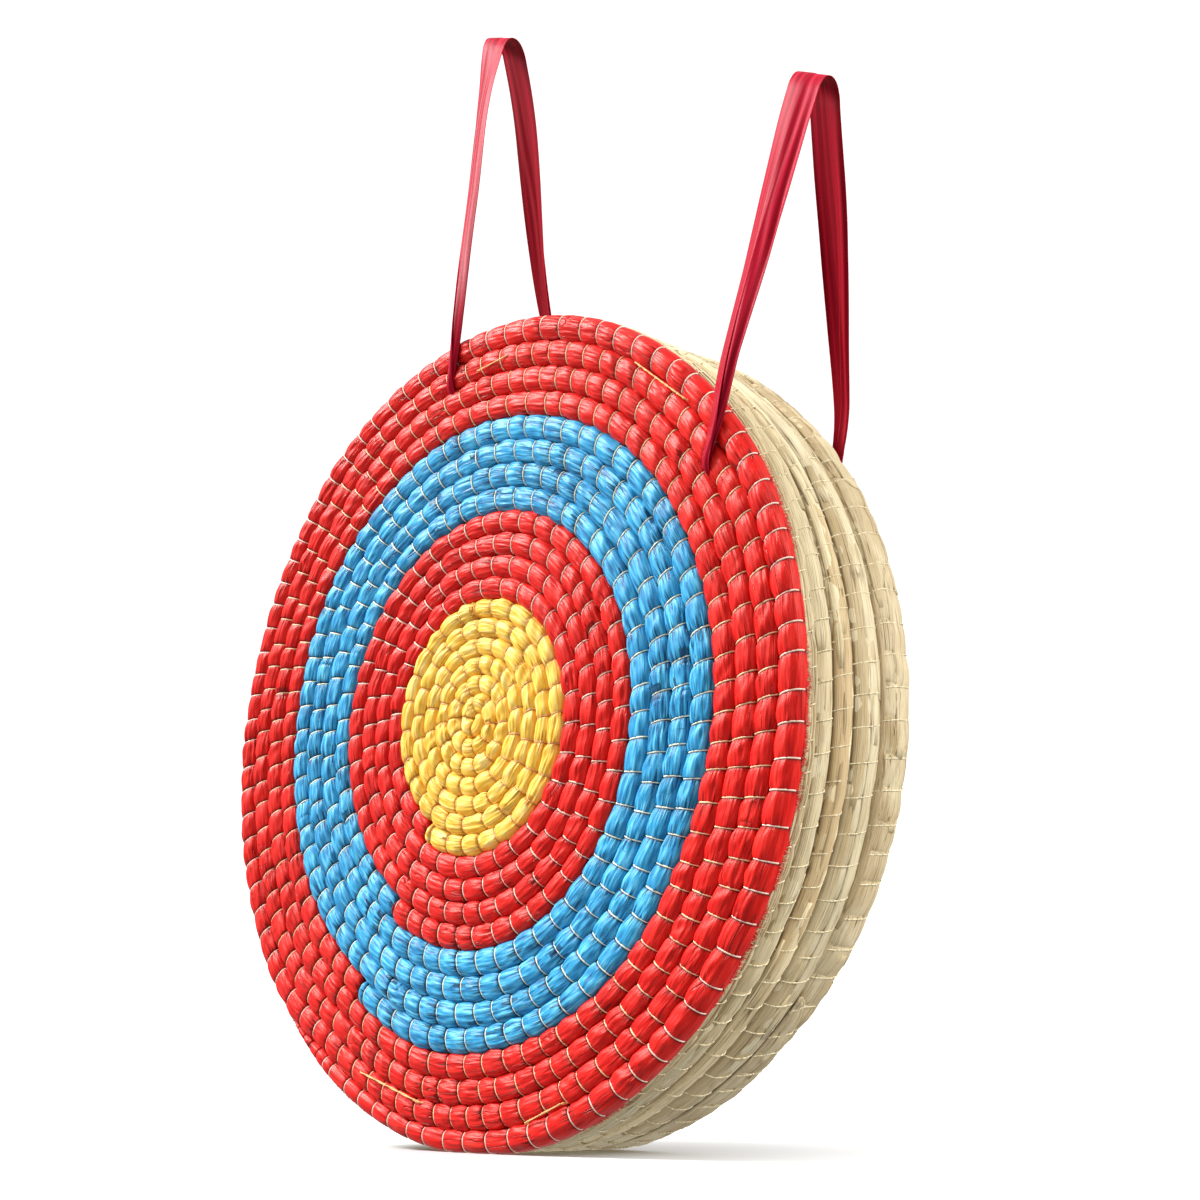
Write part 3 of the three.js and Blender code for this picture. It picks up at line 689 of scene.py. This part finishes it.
def straw(name, *tones):
    """Dry husk strips: each strip has its own tone, stains and fine fibres, with painted shade in
    the fibres' hollows, in the dark slits between strips and in the valleys between rows.
    """
    look = Look(name)
    fibres = look.streaks(2.2, 0.03, 4.0)
    fine = look.streaks(7.0, 0.09, 3.0)
    patches = look.streaks(0.1, 0.018, 3.0)
    stains = look.ramp(patches, (0.5, BLACK), (0.72, WHITE))
    shade = look.ramp(fibres, (0.3, WHITE), (0.52, BLACK))
    bright = look.ramp(fine, (0.5, BLACK), (0.75, WHITE))
    slits = look.math("MULTIPLY", look.lines(0.42, 0.006, 0.017),
                      look.ramp(patches, (0.4, BLACK), (0.6, WHITE)))
    # Painted shade in the colour: darker over the fibres' hollows (shade), in the slits between
    # strips and in the valleys between rows; the tints and stains are the straw's own
    color = look.layers(
        look.ramp(look.attribute("tint"), *zip((0.0, 0.25, 0.6, 1.0), tones)),
        ((0.42, 0.27, 0.1), stains, 0.6), ((0.33, 0.22, 0.1), shade, 0.62),
        ((0.86, 0.78, 0.55), bright, 0.4), ((0.14, 0.09, 0.035), slits, 0.85),
        ((0.13, 0.08, 0.03), look.attribute("valley_shade"), 0.8))
    sunk = look.math("MULTIPLY", slits, -1.0)
    normal = look.bumps((fibres, 0.7, 0.7), (sunk, 0.8, 0.8), (fine, 0.45, 0.25))
    return look.shade({
        "Base Color": color, "Roughness": 0.6, "Specular IOR Level": 0.3, "Normal": normal})


def thread(name, light, dark):
    """Twisted sewing thread."""
    look = Look(name)
    fuzz = look.noise(look.node("TexCoord", output="Object"), 2.0, 900.0)
    return look.shade({
        "Base Color": look.ramp(fuzz, (0.35, dark), (0.6, light)), "Roughness": 0.6,
        "Normal": look.bumps((fuzz, 0.4, 0.2))})


def satin(name, dark, body, light, gloss):
    """Satin ribbon: lengthwise sheen streaks and fine cross ribs."""
    look = Look(name)
    sheen = look.streaks(0.45, 0.004, 2.0)
    threads = look.streaks(5.0, 0.03, 3.0)
    color = look.ramp(sheen, (0.3, dark), (0.5, body), (0.68, light))
    return look.shade({
        "Base Color": look.layers(color, (light, threads, 0.25)),
        "Roughness": look.remap(threads, 0.0, 1.0, 0.36, 0.56),
        "Specular IOR Level": gloss, "Specular Tint": (1.0, 0.45, 0.5, 1),
        "Normal": look.bumps((threads, 0.25, 0.12), (look.bands(0.02, 1.6, 0.6), 0.12, 0.06))})


# Pleats from dark over body to light (painted shade in the hollows, painted highlight on the
# crests), painted shade of the valleys and creases, tint of the gloss, and how creased
RAFFIAS = {
    "raffia_yellow": [(0.8, 0.38, 0.014), (0.93, 0.57, 0.06), (0.98, 0.76, 0.28),
                      (0.5, 0.16, 0.004), (1.0, 0.9, 0.5)],
    "raffia_red": [(0.46, 0.002, 0.002), (0.68, 0.006, 0.005), (0.86, 0.03, 0.02),
                   (0.12, 0.001, 0.001), (1.0, 0.6, 0.5)],
    "raffia_blue": [(0.002, 0.075, 0.24), (0.014, 0.31, 0.62), (0.17, 0.68, 0.98),
                    (0.001, 0.012, 0.05), (0.75, 0.92, 1.0), 2.1],
}
# Tones that the strips are dealt
STRAWS = {
    "straw_pale": [(0.6, 0.46, 0.25), (0.76, 0.63, 0.38), (0.86, 0.75, 0.5), (0.68, 0.59, 0.37)],
    "straw_gold": [(0.66, 0.47, 0.24), (0.84, 0.65, 0.36), (0.94, 0.8, 0.5), (0.88, 0.74, 0.46)],
    "straw_back": [(0.48, 0.35, 0.18), (0.66, 0.52, 0.3), (0.78, 0.65, 0.41), (0.67, 0.55, 0.32)],
}
# Light and dark of the twist
THREADS = {
    "fray_red": [(0.85, 0.035, 0.02), (0.6, 0.012, 0.008)],
    "fray_straw": [(0.78, 0.64, 0.4), (0.56, 0.42, 0.22)],
    "thread_cream": [(1.0, 0.8, 0.66), (0.8, 0.52, 0.38)],
    "thread_gold": [(1.0, 0.72, 0.42), (0.82, 0.47, 0.23)],
    "thread_pale": [(1.0, 0.98, 0.78), (0.7, 0.7, 0.48)],
    "thread_salmon": [(1.0, 0.76, 0.6), (0.84, 0.5, 0.36)],
    "thread_yellow": [(0.85, 0.5, 0.2), (0.6, 0.3, 0.1)],
    "thread_tan": [(0.92, 0.82, 0.56), (0.48, 0.38, 0.2)],
    "twine": [(0.92, 0.54, 0.2), (0.66, 0.32, 0.09)],
}
# Sheen from dark over body to light, and how glossy
SATINS = {
    "ribbon": [(0.17, 0.0, 0.006), (0.34, 0.003, 0.016), (0.54, 0.015, 0.045), 0.1],
    # The ribbon's inner side: a duller copy of the satin whose darker colour is painted shade for
    # the legs that face away from the light
    "ribbon_back": [(0.12, 0.0, 0.003), (0.22, 0.001, 0.007), (0.35, 0.005, 0.02), 0.08],
}
MATERIALS = {
    name: make(name, *values)
    for make, looks in ((raffia, RAFFIAS), (straw, STRAWS), (thread, THREADS), (satin, SATINS))
    for name, values in looks.items()}


# Face

from_turn, to_turn = START_TURN, 0
for zone, look, turns, _, thread_look in FACE_ZONES:
    to_turn += turns
    end = (face.end if to_turn == face_turns else to_turn) - ZONE_GAP
    stitches = face_rope(zone, look, from_turn, end, 1.35 if look == "raffia_yellow" else 1.0)
    inside = stitches[1:-1]
    face_threads(zone, thread_look, inside[inside < face.end - ZONE_GAP - BARE_TAIL_TURNS])
    from_turn = to_turn


def frayed_edge(name, count, look, length, tilt):
    """Short fibres that stand out where the raffia is cut, behind the rim."""
    turn = face.end - 1 + rng.random(count * 3)
    tufts = noise(turn * 90, 61) * noise(turn * 23, 62)
    turn = turn[np.argsort(rng.random(count * 3) * 0.25 - tufts)[:count]]
    size = rng.uniform(*length, count) * MM
    aside = rng.normal(0, 0.5, count)
    out = rng.uniform(-0.15, tilt, count)
    step = np.linspace(0, 1, 4)
    radius = RIM_RADIUS + 0.1 * MM + (0.8 * MM + out * size)[:, None] * step
    angle = face.angle(turn)[:, None] + (aside * size)[:, None] * step / RIM_RADIUS
    depth = FRONT_Y + 9.2 * MM + rng.uniform(-0.7, 0.7, count)[:, None] * MM + size[:, None] * step
    paths = on_disc(radius, angle, depth)
    outward = on_disc(radius + MM, angle, depth) - paths
    thick = 0.19 * MM * (1 - 0.6 * step)
    tint = rng.random(count)[:, None, None]
    dress(tubes_along(name, paths, outward, thick[None], 3, {"tint": tint}), look)


frayed_edge("frayed_raffia", 1500, "fray_red", (0.8, 3.2), 0.3)
frayed_edge("frayed_straw", 900, "fray_straw", (1.5, 5.0), 0.2)


# Inner mats, back mat and the bare side of the face rope

def rim_section(turn):
    """The stretch of a rim rope's section that shows."""
    return radians(-74), radians(74)


def back_section(turn):
    """The stretch of the back rope's section that shows, wider on its free outermost turn."""
    rim = turn > back_coil.end - 1.05
    return np.where(rim, radians(-75), radians(15)), np.full(len(turn), radians(160))


def steady_spacing(radius, turn):
    return min(17.5 * MM, 8 * MM + 0.2 * radius)


def straw_mat(layer, rope, start, sections, look, solids, sides=24, **husk):
    """The rope that shows of a mat, its husks, and the threads that stitch it."""
    stitches = stitch_turns(rope.coil, start, rope.coil.end, steady_spacing)
    turn, part, number = (values[:, None] for values in rope_rings(stitches))
    section = np.linspace(-pi, pi, sides, endpoint=False)[None]
    obj = skin(f"{layer}_rope", rope.surface(turn, part, section), {
        "rope": rope.coordinates(turn, section, number),
        "tint": noise(rope.coil.length(turn) / 0.04 + section * 0.7, rope.seed + 31),
        "valley_shade": rope.valley_shade(turn, section)})
    dress(obj, look, replaces=solids)
    husks(f"{layer}_husks", rope, stitches, sections, look, **husk)
    straw_threads(f"{layer}_stitches", rope, stitches[1:-1], sections(stitches[1:-1]))


def rim_row(layer, middle_y, half_depth, seam, seed, look, reach=RIM_RADIUS, **husk):
    rope = StrawRope(Ring(radians(seam), reach), middle_y, half_depth, seed)
    solids = [node for node in (f"{layer}_rim_rope",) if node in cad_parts]
    straw_mat(layer, rope, 0, rim_section, look, solids, **husk)


rim_row("face_side", FRONT_Y + FACE_DEPTH - 4.6 * MM, 6.2 * MM, 200, 3, "straw_back",
        RIM_RADIUS + 0.3 * MM, width=(1.2, 3), length=(30, 110), lanes=8, lift=(0.1, 1.3))
rim_row("second_layer", FRONT_Y + FACE_DEPTH + SECOND_DEPTH / 2, SECOND_DEPTH / 2, 139, 11,
        "straw_pale")
rim_row("third_layer", 0.0, THIRD_DEPTH / 2, 20, 23, "straw_gold", lanes=3, width=(5, 11))
rim_row("fourth_layer", THIRD_DEPTH / 2 + FOURTH_DEPTH / 2, FOURTH_DEPTH / 2, 215, 37, "straw_pale",
        lanes=3, width=(9, 15))

back_coil = Coil([(0.5, 13 * MM), (1, 13.4 * MM), (2, 17 * MM), (3, 21.5 * MM), (4, 24.3 * MM)],
                 BACK_TURNS, BACK_SEAM, 1)
back_rope = StrawRope(back_coil, BACK_Y - BACK_DEPTH / 2, BACK_DEPTH / 2 + 1.2 * MM, 53,
                      pinch=MM, power=0.72, extra=0.8 * MM, thinning=0.12, tip=0.04)
straw_mat("back_layer", back_rope, START_TURN, back_section, "straw_back", ["back_layer_coil"],
          sides=32, lanes=4, width=(6, 12), length=(35, 90))


# Ties

# Polar angle in degrees and share of the rim's radius of both ends
TIE_PLACES = [
    [(90.2, 0.888), (82.7, 0.906)],
    [(54, 0.938), (41.2, 0.946)],
    [(243.9, 0.906), (260, 0.9)],
    [(282.3, 0.947), (290.1, 0.938)],
]
TWINE_RADIUS = 0.75 * MM
TWIST_LENGTH = 5 * MM


def disc_place(radius, degrees):
    angle = radians(degrees)
    return radius * cos(angle), CENTRE_HEIGHT + radius * sin(angle)


def tie(number, places):
    """Two-ply twine that crosses the face, runs through the stack and closes in a loop behind."""
    (ax, az), (bx, bz) = (disc_place(share * RIM_RADIUS, angle) for angle, share in places)
    front, back = FRONT_Y - 0.7 * MM, BACK_Y + 0.9 * MM
    inset = 1.6 * MM
    corners = np.array([(0, back - inset), (0, front + inset), (0.04, front), (0.96, front),
                        (1, front + inset), (1, back - inset), (0.96, back), (0.04, back)])
    step = np.linspace(0, 1, 14, endpoint=False)[:, None]
    share, y = np.concatenate([
        here + (there - here) * step for here, there in zip(corners, np.roll(corners, -1, 0))]).T
    path = joined(ax + (bx - ax) * share, y, az + (bz - az) * share)
    steps = np.linalg.norm(np.roll(path, -1, axis=0) - path, axis=1)
    twists = round(steps.sum() / TWIST_LENGTH)
    phase = np.concatenate([[0], np.cumsum(steps)[:-1]]) / steps.sum() * tau * twists
    tangent = unit(np.roll(path, -1, axis=0) - np.roll(path, 1, axis=0))
    side = unit(np.cross(tangent, (0.3, 0.1, 0.95)))
    up = np.cross(side, tangent)
    plies = []
    for ply in (0, pi):
        offset = np.cos(phase + ply)[:, None] * up + np.sin(phase + ply)[:, None] * side
        centre = path + offset * TWINE_RADIUS * 0.42
        plies.append(centre[:, None] + circles(up, side, 6) * TWINE_RADIUS * 0.5)
    obj = skins(f"tie_{number}", np.array(plies), loop=True)
    dress(obj, "twine", replaces=[f"stack_tie_{number}"])


for number, places in enumerate(TIE_PLACES, 1):
    tie(number, places)


# Ribbon hangers

RIBBON_WIDTH, RIBBON_THICKNESS = 24 * MM, 0.3 * MM
BUNCH_THICKNESS, NECK_THICKNESS = 3.2 * MM, 1.26 * MM
HOLE_RADIUS, HOLE_TURN = 5 * MM, 16
KNOT_RADIUS, KNOT_DEPTH = 7 * MM, 13 * MM
TOUCH = 0.3 * MM  # between the stack and a knot
SOFT, SOFT_RIDGE, SOFT_EDGE = 0.35 * MM, 0.5 * MM, 0.25 * MM
# Width of the gathered ribbon in front and behind by its height above the hole, in mm
RIBBON_SPREADS = [
    [(0, 4.5), (11, 8), (20, 12.5), (46, 17), (66, 19.5), (105, 22), (145, 23.7), (185, 24)],
    [(0, 4.5), (11, 5.5), (20, 7), (46, 9.5), (66, 11.5), (105, 16), (145, 20.5), (185, 24)],
]
# The arch over the top, from its front foot: mm off the stack's middle and mm below the top
ARCH = [(-11.5, 17), (-8.8, 8), (-4.8, 1.9), (0, 0), (4.8, 1.9), (8.8, 8), (11.5, 17)]
ARCH_FOOT = 11 * MM
# Loop: its height. Hug: how high it follows the stack. Ends: how far both edges rise at the top.
# Lip: how far one edge curls. Of the legs in front and behind: twists in degrees by share of the
# loop's height, and sway sideways in mm by height in mm
HANGERS = {
    "left": dict(
        angle=97.6, lean=-1.8, loop=264 * MM, hug=46 * MM, ends=(19 * MM, 7.5 * MM), lip=0,
        waves=(5, 1.1), twists=[
            [(0.05, 0), (0.2, -14), (0.37, -25), (0.55, -25), (0.78, -24), (0.9, -15), (0.97, 0)],
            [(0.1, 10), (0.25, 26), (0.45, 14), (0.7, 4), (1, 0)]],
        sway=[
            [(0, 0), (20, 6), (35, 8.3), (64, 10), (95, 8), (126, 6.5), (157, 3.7), (195, 0)],
            [(0, 0), (20, -6), (45, -12), (93, -14), (121, -11), (149, -8), (178, -4.4),
             (215, 0)]]),
    "right": dict(
        angle=31.1, lean=11.2, loop=245 * MM, hug=62 * MM, ends=(1.5 * MM, -5.5 * MM), lip=2.2,
        waves=(8, 2.2), twists=[
            [(0.05, 0), (0.2, 2), (0.37, -2), (0.55, -4), (0.75, -2), (0.95, 0)],
            [(0.1, 8), (0.3, 16), (0.5, 6), (0.8, 0)]],
        sway=[
            [(0, 0), (8, 4), (20, 6.5), (42, 9), (60, 10.5), (84, 10.5), (109, 9.4), (133, 7.6),
             (158, 5.8), (184, 4), (225, 0)],
            [(0, 0), (41, 4), (60, 2.5), (87, 0.5), (154, 0.8), (200, 0)]]),
}


def smooth_route(points, count):
    """Centripetal Catmull-Rom curve through points, at even steps of length."""
    points = np.array(points, float)
    padded = np.vstack([2 * points[0] - points[1], points, 2 * points[-1] - points[-2]])
    dense = []
    for p0, p1, p2, p3 in zip(padded, padded[1:], padded[2:], padded[3:]):
        knots = np.cumsum([0] + [max(np.linalg.norm(b - a) ** 0.5, 1e-6)
                                 for a, b in ((p0, p1), (p1, p2), (p2, p3))])
        t = np.linspace(knots[1], knots[2], 40, endpoint=False)[:, None]

        def between(low, high, a, b):
            span = knots[high] - knots[low]
            return (knots[high] - t) / span * a + (t - knots[low]) / span * b

        q0, q1, q2 = between(0, 1, p0, p1), between(1, 2, p1, p2), between(2, 3, p2, p3)
        dense.append(between(1, 2, between(0, 2, q0, q1), between(1, 3, q1, q2)))
    dense = np.vstack(dense + [points[-1:]])
    length = np.concatenate([[0], np.cumsum(np.linalg.norm(np.diff(dense, axis=0), axis=1))])
    even = np.linspace(0, length[-1], count)
    return np.stack([np.interp(even, length, dense[:, k]) for k in (0, 1)], axis=1), length[-1]


def ribbon_route(loop, hug, knot_y):
    """Depth and height along the ribbon: through the hole, up in front, over, down to the knot."""
    front = FRONT_Y - 1.8 * MM
    shoulder = (loop + hug) / 2
    route = [
        (BACK_Y, 0), (MIDDLE_Y, 0), (FRONT_Y + 7 * MM, -2 * MM),
        (FRONT_Y + 2 * MM, -0.5 * MM), (FRONT_Y - 1.3 * MM, HOLE_RADIUS), (front, hug * 0.3),
        (front, hug), ((front + MIDDLE_Y - ARCH_FOOT) / 2, shoulder)]
    route += [(MIDDLE_Y + across * MM, loop - drop * MM) for across, drop in ARCH]
    route += [((knot_y + MIDDLE_Y + ARCH_FOOT) / 2, shoulder), (knot_y, hug),
              (knot_y, KNOT_RADIUS + 6 * MM), (knot_y, KNOT_RADIUS - MM)]
    return smooth_route(route, 260)


def smooth_corner(value, corner, soft):
    return np.sqrt((value - corner) ** 2 + soft ** 2)


def ribbon_points(path, loop, hug, ends, twists, sway, lip, waves):
    """The folded ribbon along its route as [rows, columns, xyz], upright over its hole."""
    tangent = unit(np.gradient(path, axis=0))
    normal = np.stack([-tangent[:, 1], tangent[:, 0]], axis=1)
    height = path[:, 1]
    is_front = path[:, 0] < MIDDLE_Y

    def by_height(tables, at):
        both = np.where(is_front, *[by_table(at, table) for table in tables])
        return np.convolve(np.pad(both, 9, mode="edge"), np.ones(19) / 19, "valid")[:, None]

    width = by_height(RIBBON_SPREADS, height / MM) * MM
    rise = clamp((height - 1 * MM) / (hug * 0.8 - 1 * MM)) ** 0.8
    free = clamp((height - hug) / (loop - hug) * 1.6)
    thick = BUNCH_THICKNESS + (NECK_THICKNESS - BUNCH_THICKNESS) * clamp(rise * 4)
    thick = (thick * (1 - free) + RIBBON_THICKNESS * free)[:, None]
    open_part = clamp((height - hug) / (loop - hug))[:, None]

    # Both edges are tucked in behind, as far as the width asks, and a ridge folds the rest
    q = np.linspace(0, 1, 49)
    fold = (0.14 + 0.5 * (1 - open_part) ** 1.5) * (1 - open_part ** 3)
    reach = RIBBON_WIDTH / np.sqrt(1 + fold ** 2)
    tuck = np.maximum(reach - width, 0) / 2
    first = (reach - tuck) * 0.56
    second = first + tuck
    along = q * reach
    x = (along - (along - first + smooth_corner(along, first, SOFT))
         + (along - second + smooth_corner(along, second, SOFT)))
    x = x - (x.min(axis=1, keepdims=True) + x.max(axis=1, keepdims=True)) / 2
    offset = -np.tanh((along - (first + second) / 2) / (tuck / 2 + SOFT)) * thick / 2
    seed, phase = waves
    steps = np.linspace(0, 1, len(path))[:, None]
    ripples = noise(q * 7 + noise(steps * 9, seed) * 1.5, seed + 20) - 0.5
    broad = np.cos(q * tau + phase + steps * 3)
    loose = np.sin(open_part * pi) ** 0.8
    offset = offset + (ripples * 1.5 + broad * 0.8) * MM * loose
    ridge = smooth_corner(x, (0.16 - 0.2 * open_part) * width, SOFT_RIDGE)
    edge = x - 0.37 * width
    edge = (edge + smooth_corner(edge, 0, SOFT_EDGE)) / 2
    offset = offset - ridge * fold + edge * lip * fold
    offset = offset - offset.mean(axis=1, keepdims=True)

    twist = np.radians(by_height(twists, height / loop))
    c, s = np.cos(twist), np.sin(twist)
    x, offset = x * c + offset * s, offset * c - x * s
    points = joined(x + by_height(sway, height / MM) * MM, path[:, :1] + offset * normal[:, :1],
                    path[:, 1:] + offset * normal[:, 1:])
    slope = (ends[1] - ends[0]) / RIBBON_WIDTH
    points[:, :, 2] += ease(open_part) * (sum(ends) / 2 + slope * x)
    return points


def hanger(side, angle, lean, loop, hug, **shape):
    body = f"{side}_hanger"
    turn = HOLE_TURN + ((-(radians(angle) - FACE_SEAM) / tau) % 1)
    x, z = disc_place(face.outer(np.array([turn]))[0], angle)
    hole = np.array(Vector((x, 0, z)))
    knot_y = BACK_Y + TOUCH + KNOT_DEPTH / 2
    path, length = ribbon_route(loop, hug, knot_y)
    points = ribbon_points(path, loop, hug, **shape)
    leaning = np.array(Matrix.Rotation(radians(lean), 3, "Y")).T
    rows, columns = points.shape[:2]
    index = np.arange(rows * columns).reshape(rows, columns)
    faces = np.stack([index[:-1, :-1], index[:-1, 1:], index[1:, 1:], index[1:, :-1]], axis=-1)
    mesh = bpy.data.meshes.new(f"{side}_ribbon")
    mesh.from_pydata((points.reshape(-1, 3) @ leaning + hole).tolist(), [],
                     faces.reshape(-1, 4).tolist())
    mesh.shade_smooth()
    across, along = np.linspace(0, 1, columns), np.linspace(0, length / MM, rows)
    add_attribute(mesh, "rope", joined(across * RIBBON_WIDTH / MM, along[:, None], 7.0))
    ribbon = add_object(f"{side}_ribbon", mesh)
    solid = ribbon.modifiers.new("thickness", "SOLIDIFY")
    solid.thickness, solid.offset, solid.material_offset = RIBBON_THICKNESS, 0, 1
    dress(ribbon, "ribbon", body, [f"{side}_hanger_ribbon"])
    # The inner shell takes the darker copy: painted shade
    ribbon.data.materials.append(MATERIALS["ribbon_back"])
    knot(side, body, hole + [0, knot_y, 0], leaning)


KNOT_WRAPS = ((0.5, 5.6, -2.6), (-0.6, 5.6, 2.6), (1.45, 4.48, 0.0))
WRAP_THICKNESS, WRAP_WIDTH, WRAP_POINTS = 1.5 * MM, 3.3 * MM, 40


def knot(side, body, place, leaning):
    """A pulled-tight ribbon knot: three flat wraps laid over each other."""
    strands = []
    t = np.linspace(0, tau, WRAP_POINTS, endpoint=False)
    for tilt, size, shift in KNOT_WRAPS:
        ring = np.stack([np.cos(t) * size, shift + np.sin(2 * t) * 0.5, np.sin(t) * size], axis=1)
        strands.append(ring @ np.array(Matrix.Rotation(tilt, 3, "X")).T)
    paths = np.array(strands) * MM
    tangent = unit(np.roll(paths, -1, axis=1) - np.roll(paths, 1, axis=1))
    out = unit(paths - paths.mean(axis=1, keepdims=True))
    side_way = np.cross(tangent, out)
    around = np.linspace(0, tau, 16, endpoint=False)
    pleat = 1 + 0.12 * np.cos(around * 5)
    section = ((np.cos(around) * WRAP_THICKNESS * pleat)[:, None] * out[:, :, None]
               + (np.sin(around) * WRAP_WIDTH * pleat)[:, None] * side_way[:, :, None])
    points = (paths[:, :, None] + section) @ leaning + place
    coordinates = joined((around * 3)[None, None], np.arange(WRAP_POINTS)[None, :, None] * 0.9,
                         np.arange(len(KNOT_WRAPS))[:, None, None] * 9.0)
    obj = skins(f"{side}_knot", points, {"rope": coordinates}, loop=True)
    dress(obj, "ribbon", body, [f"{side}_hanger_knot"])


for side, values in HANGERS.items():
    hanger(side, **values)

for layer in ("second", "third", "fourth"):
    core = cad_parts[f"{layer}_layer_core"]
    core.data.materials.clear()
    core.data.materials.append(MATERIALS["straw_gold"])


# Floor, light and camera

FLOOR_REACH, WALL_BEND, WALL_TOP, FLOOR_SIDES = 6.5, 2.5, 8.0, 72
SHADOW_FROM, SHADOW_TO, FLOOR_GLOW, FLOOR_COLOR = 0.06, 0.24, 0.6, (0.58, 0.58, 0.58, 1)


def stage():
    """A pale floor that curves up into a wall all round, and glows away from the object."""
    profile = [(FLOOR_REACH, 0.0)]
    profile += [(FLOOR_REACH + WALL_BEND * sin(a), WALL_BEND - WALL_BEND * cos(a))
                for a in np.linspace(0, pi / 2, 14)[1:]]
    profile.append((FLOOR_REACH + WALL_BEND, WALL_TOP))
    verts = [Vector((r * cos(a), r * sin(a), z)) for r, z in profile
             for a in np.arange(FLOOR_SIDES) / FLOOR_SIDES * tau]
    faces = [tuple(range(FLOOR_SIDES))]
    for row in range(len(profile) - 1):
        first, above = row * FLOOR_SIDES, (row + 1) * FLOOR_SIDES
        for k in range(FLOOR_SIDES):
            ahead = (k + 1) % FLOOR_SIDES
            faces.append((first + k, first + ahead, above + ahead, above + k))
    mesh = bpy.data.meshes.new("floor")
    mesh.from_pydata(verts, [], faces)
    floor = add_object("floor", mesh)
    look = Look("floor")
    place = look.node("TexCoord", output="Object")
    distance = look.node("VectorMath", {0: place}, "Value", operation="LENGTH")
    material = look.shade({
        "Emission Strength": look.remap(distance, SHADOW_FROM, SHADOW_TO, 0.0, FLOOR_GLOW),
        "Emission Color": (1, 1, 1, 1), "Base Color": FLOOR_COLOR,
        "Roughness": 0.7, "Specular IOR Level": 0.1})
    material.cycles.emission_sampling = "NONE"
    floor.data.materials.append(material)
    floor.visible_diffuse = floor.visible_glossy = floor.visible_shadow = False


def lamp(name, kind, place, towards, **settings):
    """A light at a place, which shines along towards."""
    light = bpy.data.lights.new(name, kind)
    for key, value in settings.items():
        setattr(light, key, value)
    obj = add_object(name, light)
    obj.location = place
    obj.rotation_euler = Vector(towards).to_track_quat("-Z", "Y").to_euler()


stage()
GLOSS_PLACE, GLOSS_TARGET = Vector((-1.1, -1.9, 1.5)), Vector((0.0, 0.0, 0.3))
lamp("key", "SUN", (0, 0, 0), (0.58, 0.48, -0.66), energy=6.0, angle=radians(20))
lamp("side", "SUN", (0, 0, 0), (-0.84, -0.26, -0.48), energy=3.0, angle=radians(34))
lamp("gloss", "AREA", GLOSS_PLACE, GLOSS_TARGET - GLOSS_PLACE, energy=10, shape="RECTANGLE",
     size=0.7, size_y=1.6)

scene.world = world = bpy.data.worlds.new("studio")
world.use_nodes = True
background = world.node_tree.nodes["Background"].inputs
background["Color"].default_value = (1, 1, 1, 1)
background["Strength"].default_value = 0.55
scene.view_settings.view_transform = "Standard"

CAMERA_PLACE = (0.8302, -0.74945, 0.0456)
# To the right, up and back
CAMERA_AXES = ((0.6996, 0.7145, 0.0), (0.1763, -0.1727, 0.9691), (0.6924, -0.678, -0.2468))
FOCAL_PIXELS, IMAGE_PIXELS, SENSOR = 1845, 1200, 36.0

lens_data = bpy.data.cameras.new("camera")
lens_data.sensor_fit = "HORIZONTAL"
lens_data.sensor_width = SENSOR
lens_data.lens = SENSOR * FOCAL_PIXELS / IMAGE_PIXELS
lens_data.clip_start = 0.02
camera = add_object("camera", lens_data)
camera.matrix_world = (
    Matrix.Translation(CAMERA_PLACE) @ Matrix(CAMERA_AXES).transposed().to_4x4())
scene.camera = camera

bpy.context.view_layer.update()
